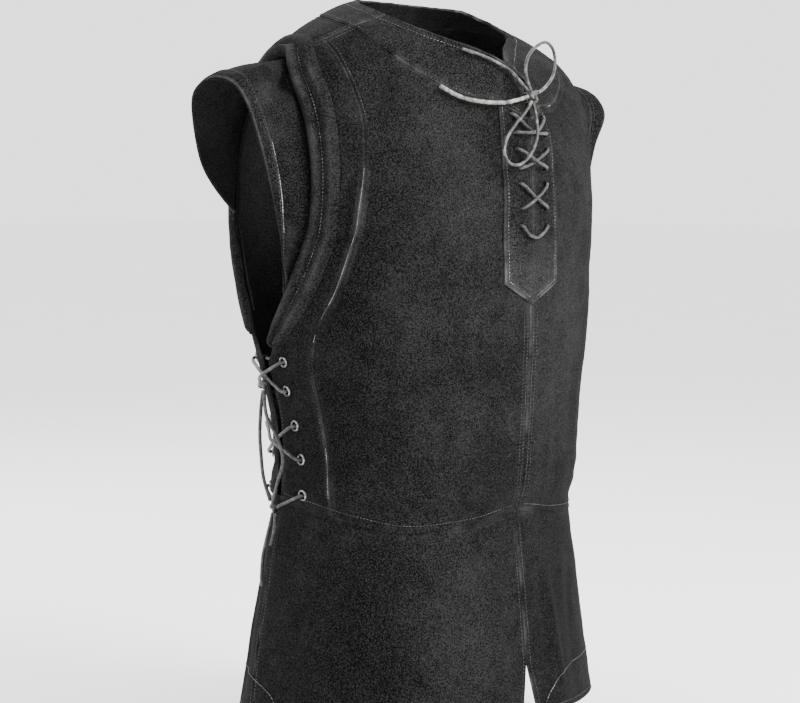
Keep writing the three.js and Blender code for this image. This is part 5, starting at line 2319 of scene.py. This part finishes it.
@dataclass
class Studio:
    """The floor, the soft lights and the camera."""

    floor_gap: float = 30.0
    azimuth: float = -49.0
    distance: float = 2273.0
    camera_level: float = -178.0
    focal_px: float = 2276.0
    width_px: float = 800.0
    height_px: float = 703.0
    horizon_px: float = 200.0
    axis_px: float = 427.0
    axis: tuple[float, float] = (0.0, 27.0)

    def floor(self) -> None:
        """Lay the pale floor a little under the hem."""
        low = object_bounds()[0][2] / MM - self.floor_gap
        size = 40000
        corners = np.array([(-size, -size, low), (size, -size, low), (size, size, low), (-size, size, low)])
        made = new_object("studio_floor", corners, [[0, 1, 2, 3]])
        n = NodeTree("studio_floor")
        n.link(n.ramp(n.noise(3, 2), 0, (0.2, grey(0.93)), (0.8, grey(0.96))), 0, n.shader, "Base Color")
        n.shader.inputs["Roughness"].default_value = 0.9
        made.data.materials.append(n.material)
        made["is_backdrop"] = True

    def light(self, name: str, turn: float, up: float, away: float, size: float, power: float) -> None:
        """Hang a square soft light round the vest.

        Args:
            name: its name.
            turn: its azimuth round the vest, as a view's.
            up: its elevation.
            away: its distance in metres.
            size: its side in metres.
            power: its power in watts.
        """
        data = bpy.data.lights.new(name, "AREA")
        data.size = size
        data.energy = power
        a, e = math.radians(turn), math.radians(up)
        way = Vector((math.sin(a) * math.cos(e), -math.cos(a) * math.cos(e), math.sin(e)))
        made = bpy.data.objects.new(name, data)
        made.location = Vector((0, 0.03, -0.33)) + way * away
        made.rotation_euler = way.to_track_quat("Z", "Y").to_euler()
        bpy.context.scene.collection.objects.link(made)

    def lights(self) -> None:
        """Set the white surroundings and the lights."""
        world = bpy.data.worlds.new("studio")
        world.use_nodes = True
        world.node_tree.nodes["Background"].inputs["Color"].default_value = (1, 1, 1, 1)
        world.node_tree.nodes["Background"].inputs["Strength"].default_value = 2.2
        bpy.context.scene.world = world
        self.light("key", 12, 34, 2.6, 1.1, 150)
        self.light("side", -105, 30, 2.6, 1.0, 14)
        self.light("behind", 165, 40, 2.8, 1.4, 60)

    def camera(self) -> None:
        """Stand the camera where the photograph was taken from."""
        a = math.radians(self.azimuth)
        right = Vector((math.cos(a), math.sin(a), 0))
        level_way = Vector((-math.sin(a), math.cos(a), 0))
        pitch = math.atan((self.height_px / 2 - self.horizon_px) / self.focal_px)
        ahead = level_way * math.cos(pitch) - Vector((0, 0, math.sin(pitch)))
        aside = (self.axis_px - self.width_px / 2) * self.distance / self.focal_px
        spot = Vector((*self.axis, 0)) - aside * right - level_way * self.distance
        spot.z = self.camera_level
        data = bpy.data.cameras.new("camera")
        data.sensor_width = 36
        data.lens = 36 * self.focal_px / self.width_px
        data.clip_end = 100
        made = bpy.data.objects.new("camera", data)
        turn = Matrix((right, right.cross(ahead), -ahead)).transposed().to_4x4()
        made.matrix_world = Matrix.Translation(spot * MM) @ turn
        bpy.context.scene.collection.objects.link(made)
        bpy.context.scene.camera = made


def main() -> None:
    """Build the vest and its studio in order."""
    logging.basicConfig(level=logging.INFO, format="%(name)s: %(message)s")
    studio = Studio()
    studio.camera()
    finishes = Finishes()
    made = FrontLacing(finishes).build()
    for side in Side:
        made += SideLacing(finishes, side).build()
    for part in (Bodice, Skirt, Neckband, Placket, ArmholeBand, ShoulderCap):
        maker = part(finishes)
        made += maker.build()
        made.append(maker.stitch())
        if isinstance(maker, Skirt):
            made.append(maker.arcs())
    made += WornEdges(finishes).build() + SeamAllowances(finishes).build()
    for piece in made:
        count = len(piece.data.polygons) if piece.type == "MESH" else 0
        LOG.info("%s: %d faces", piece.name, count)
    studio.floor()
    studio.lights()


if __name__ == "__main__":
    main()
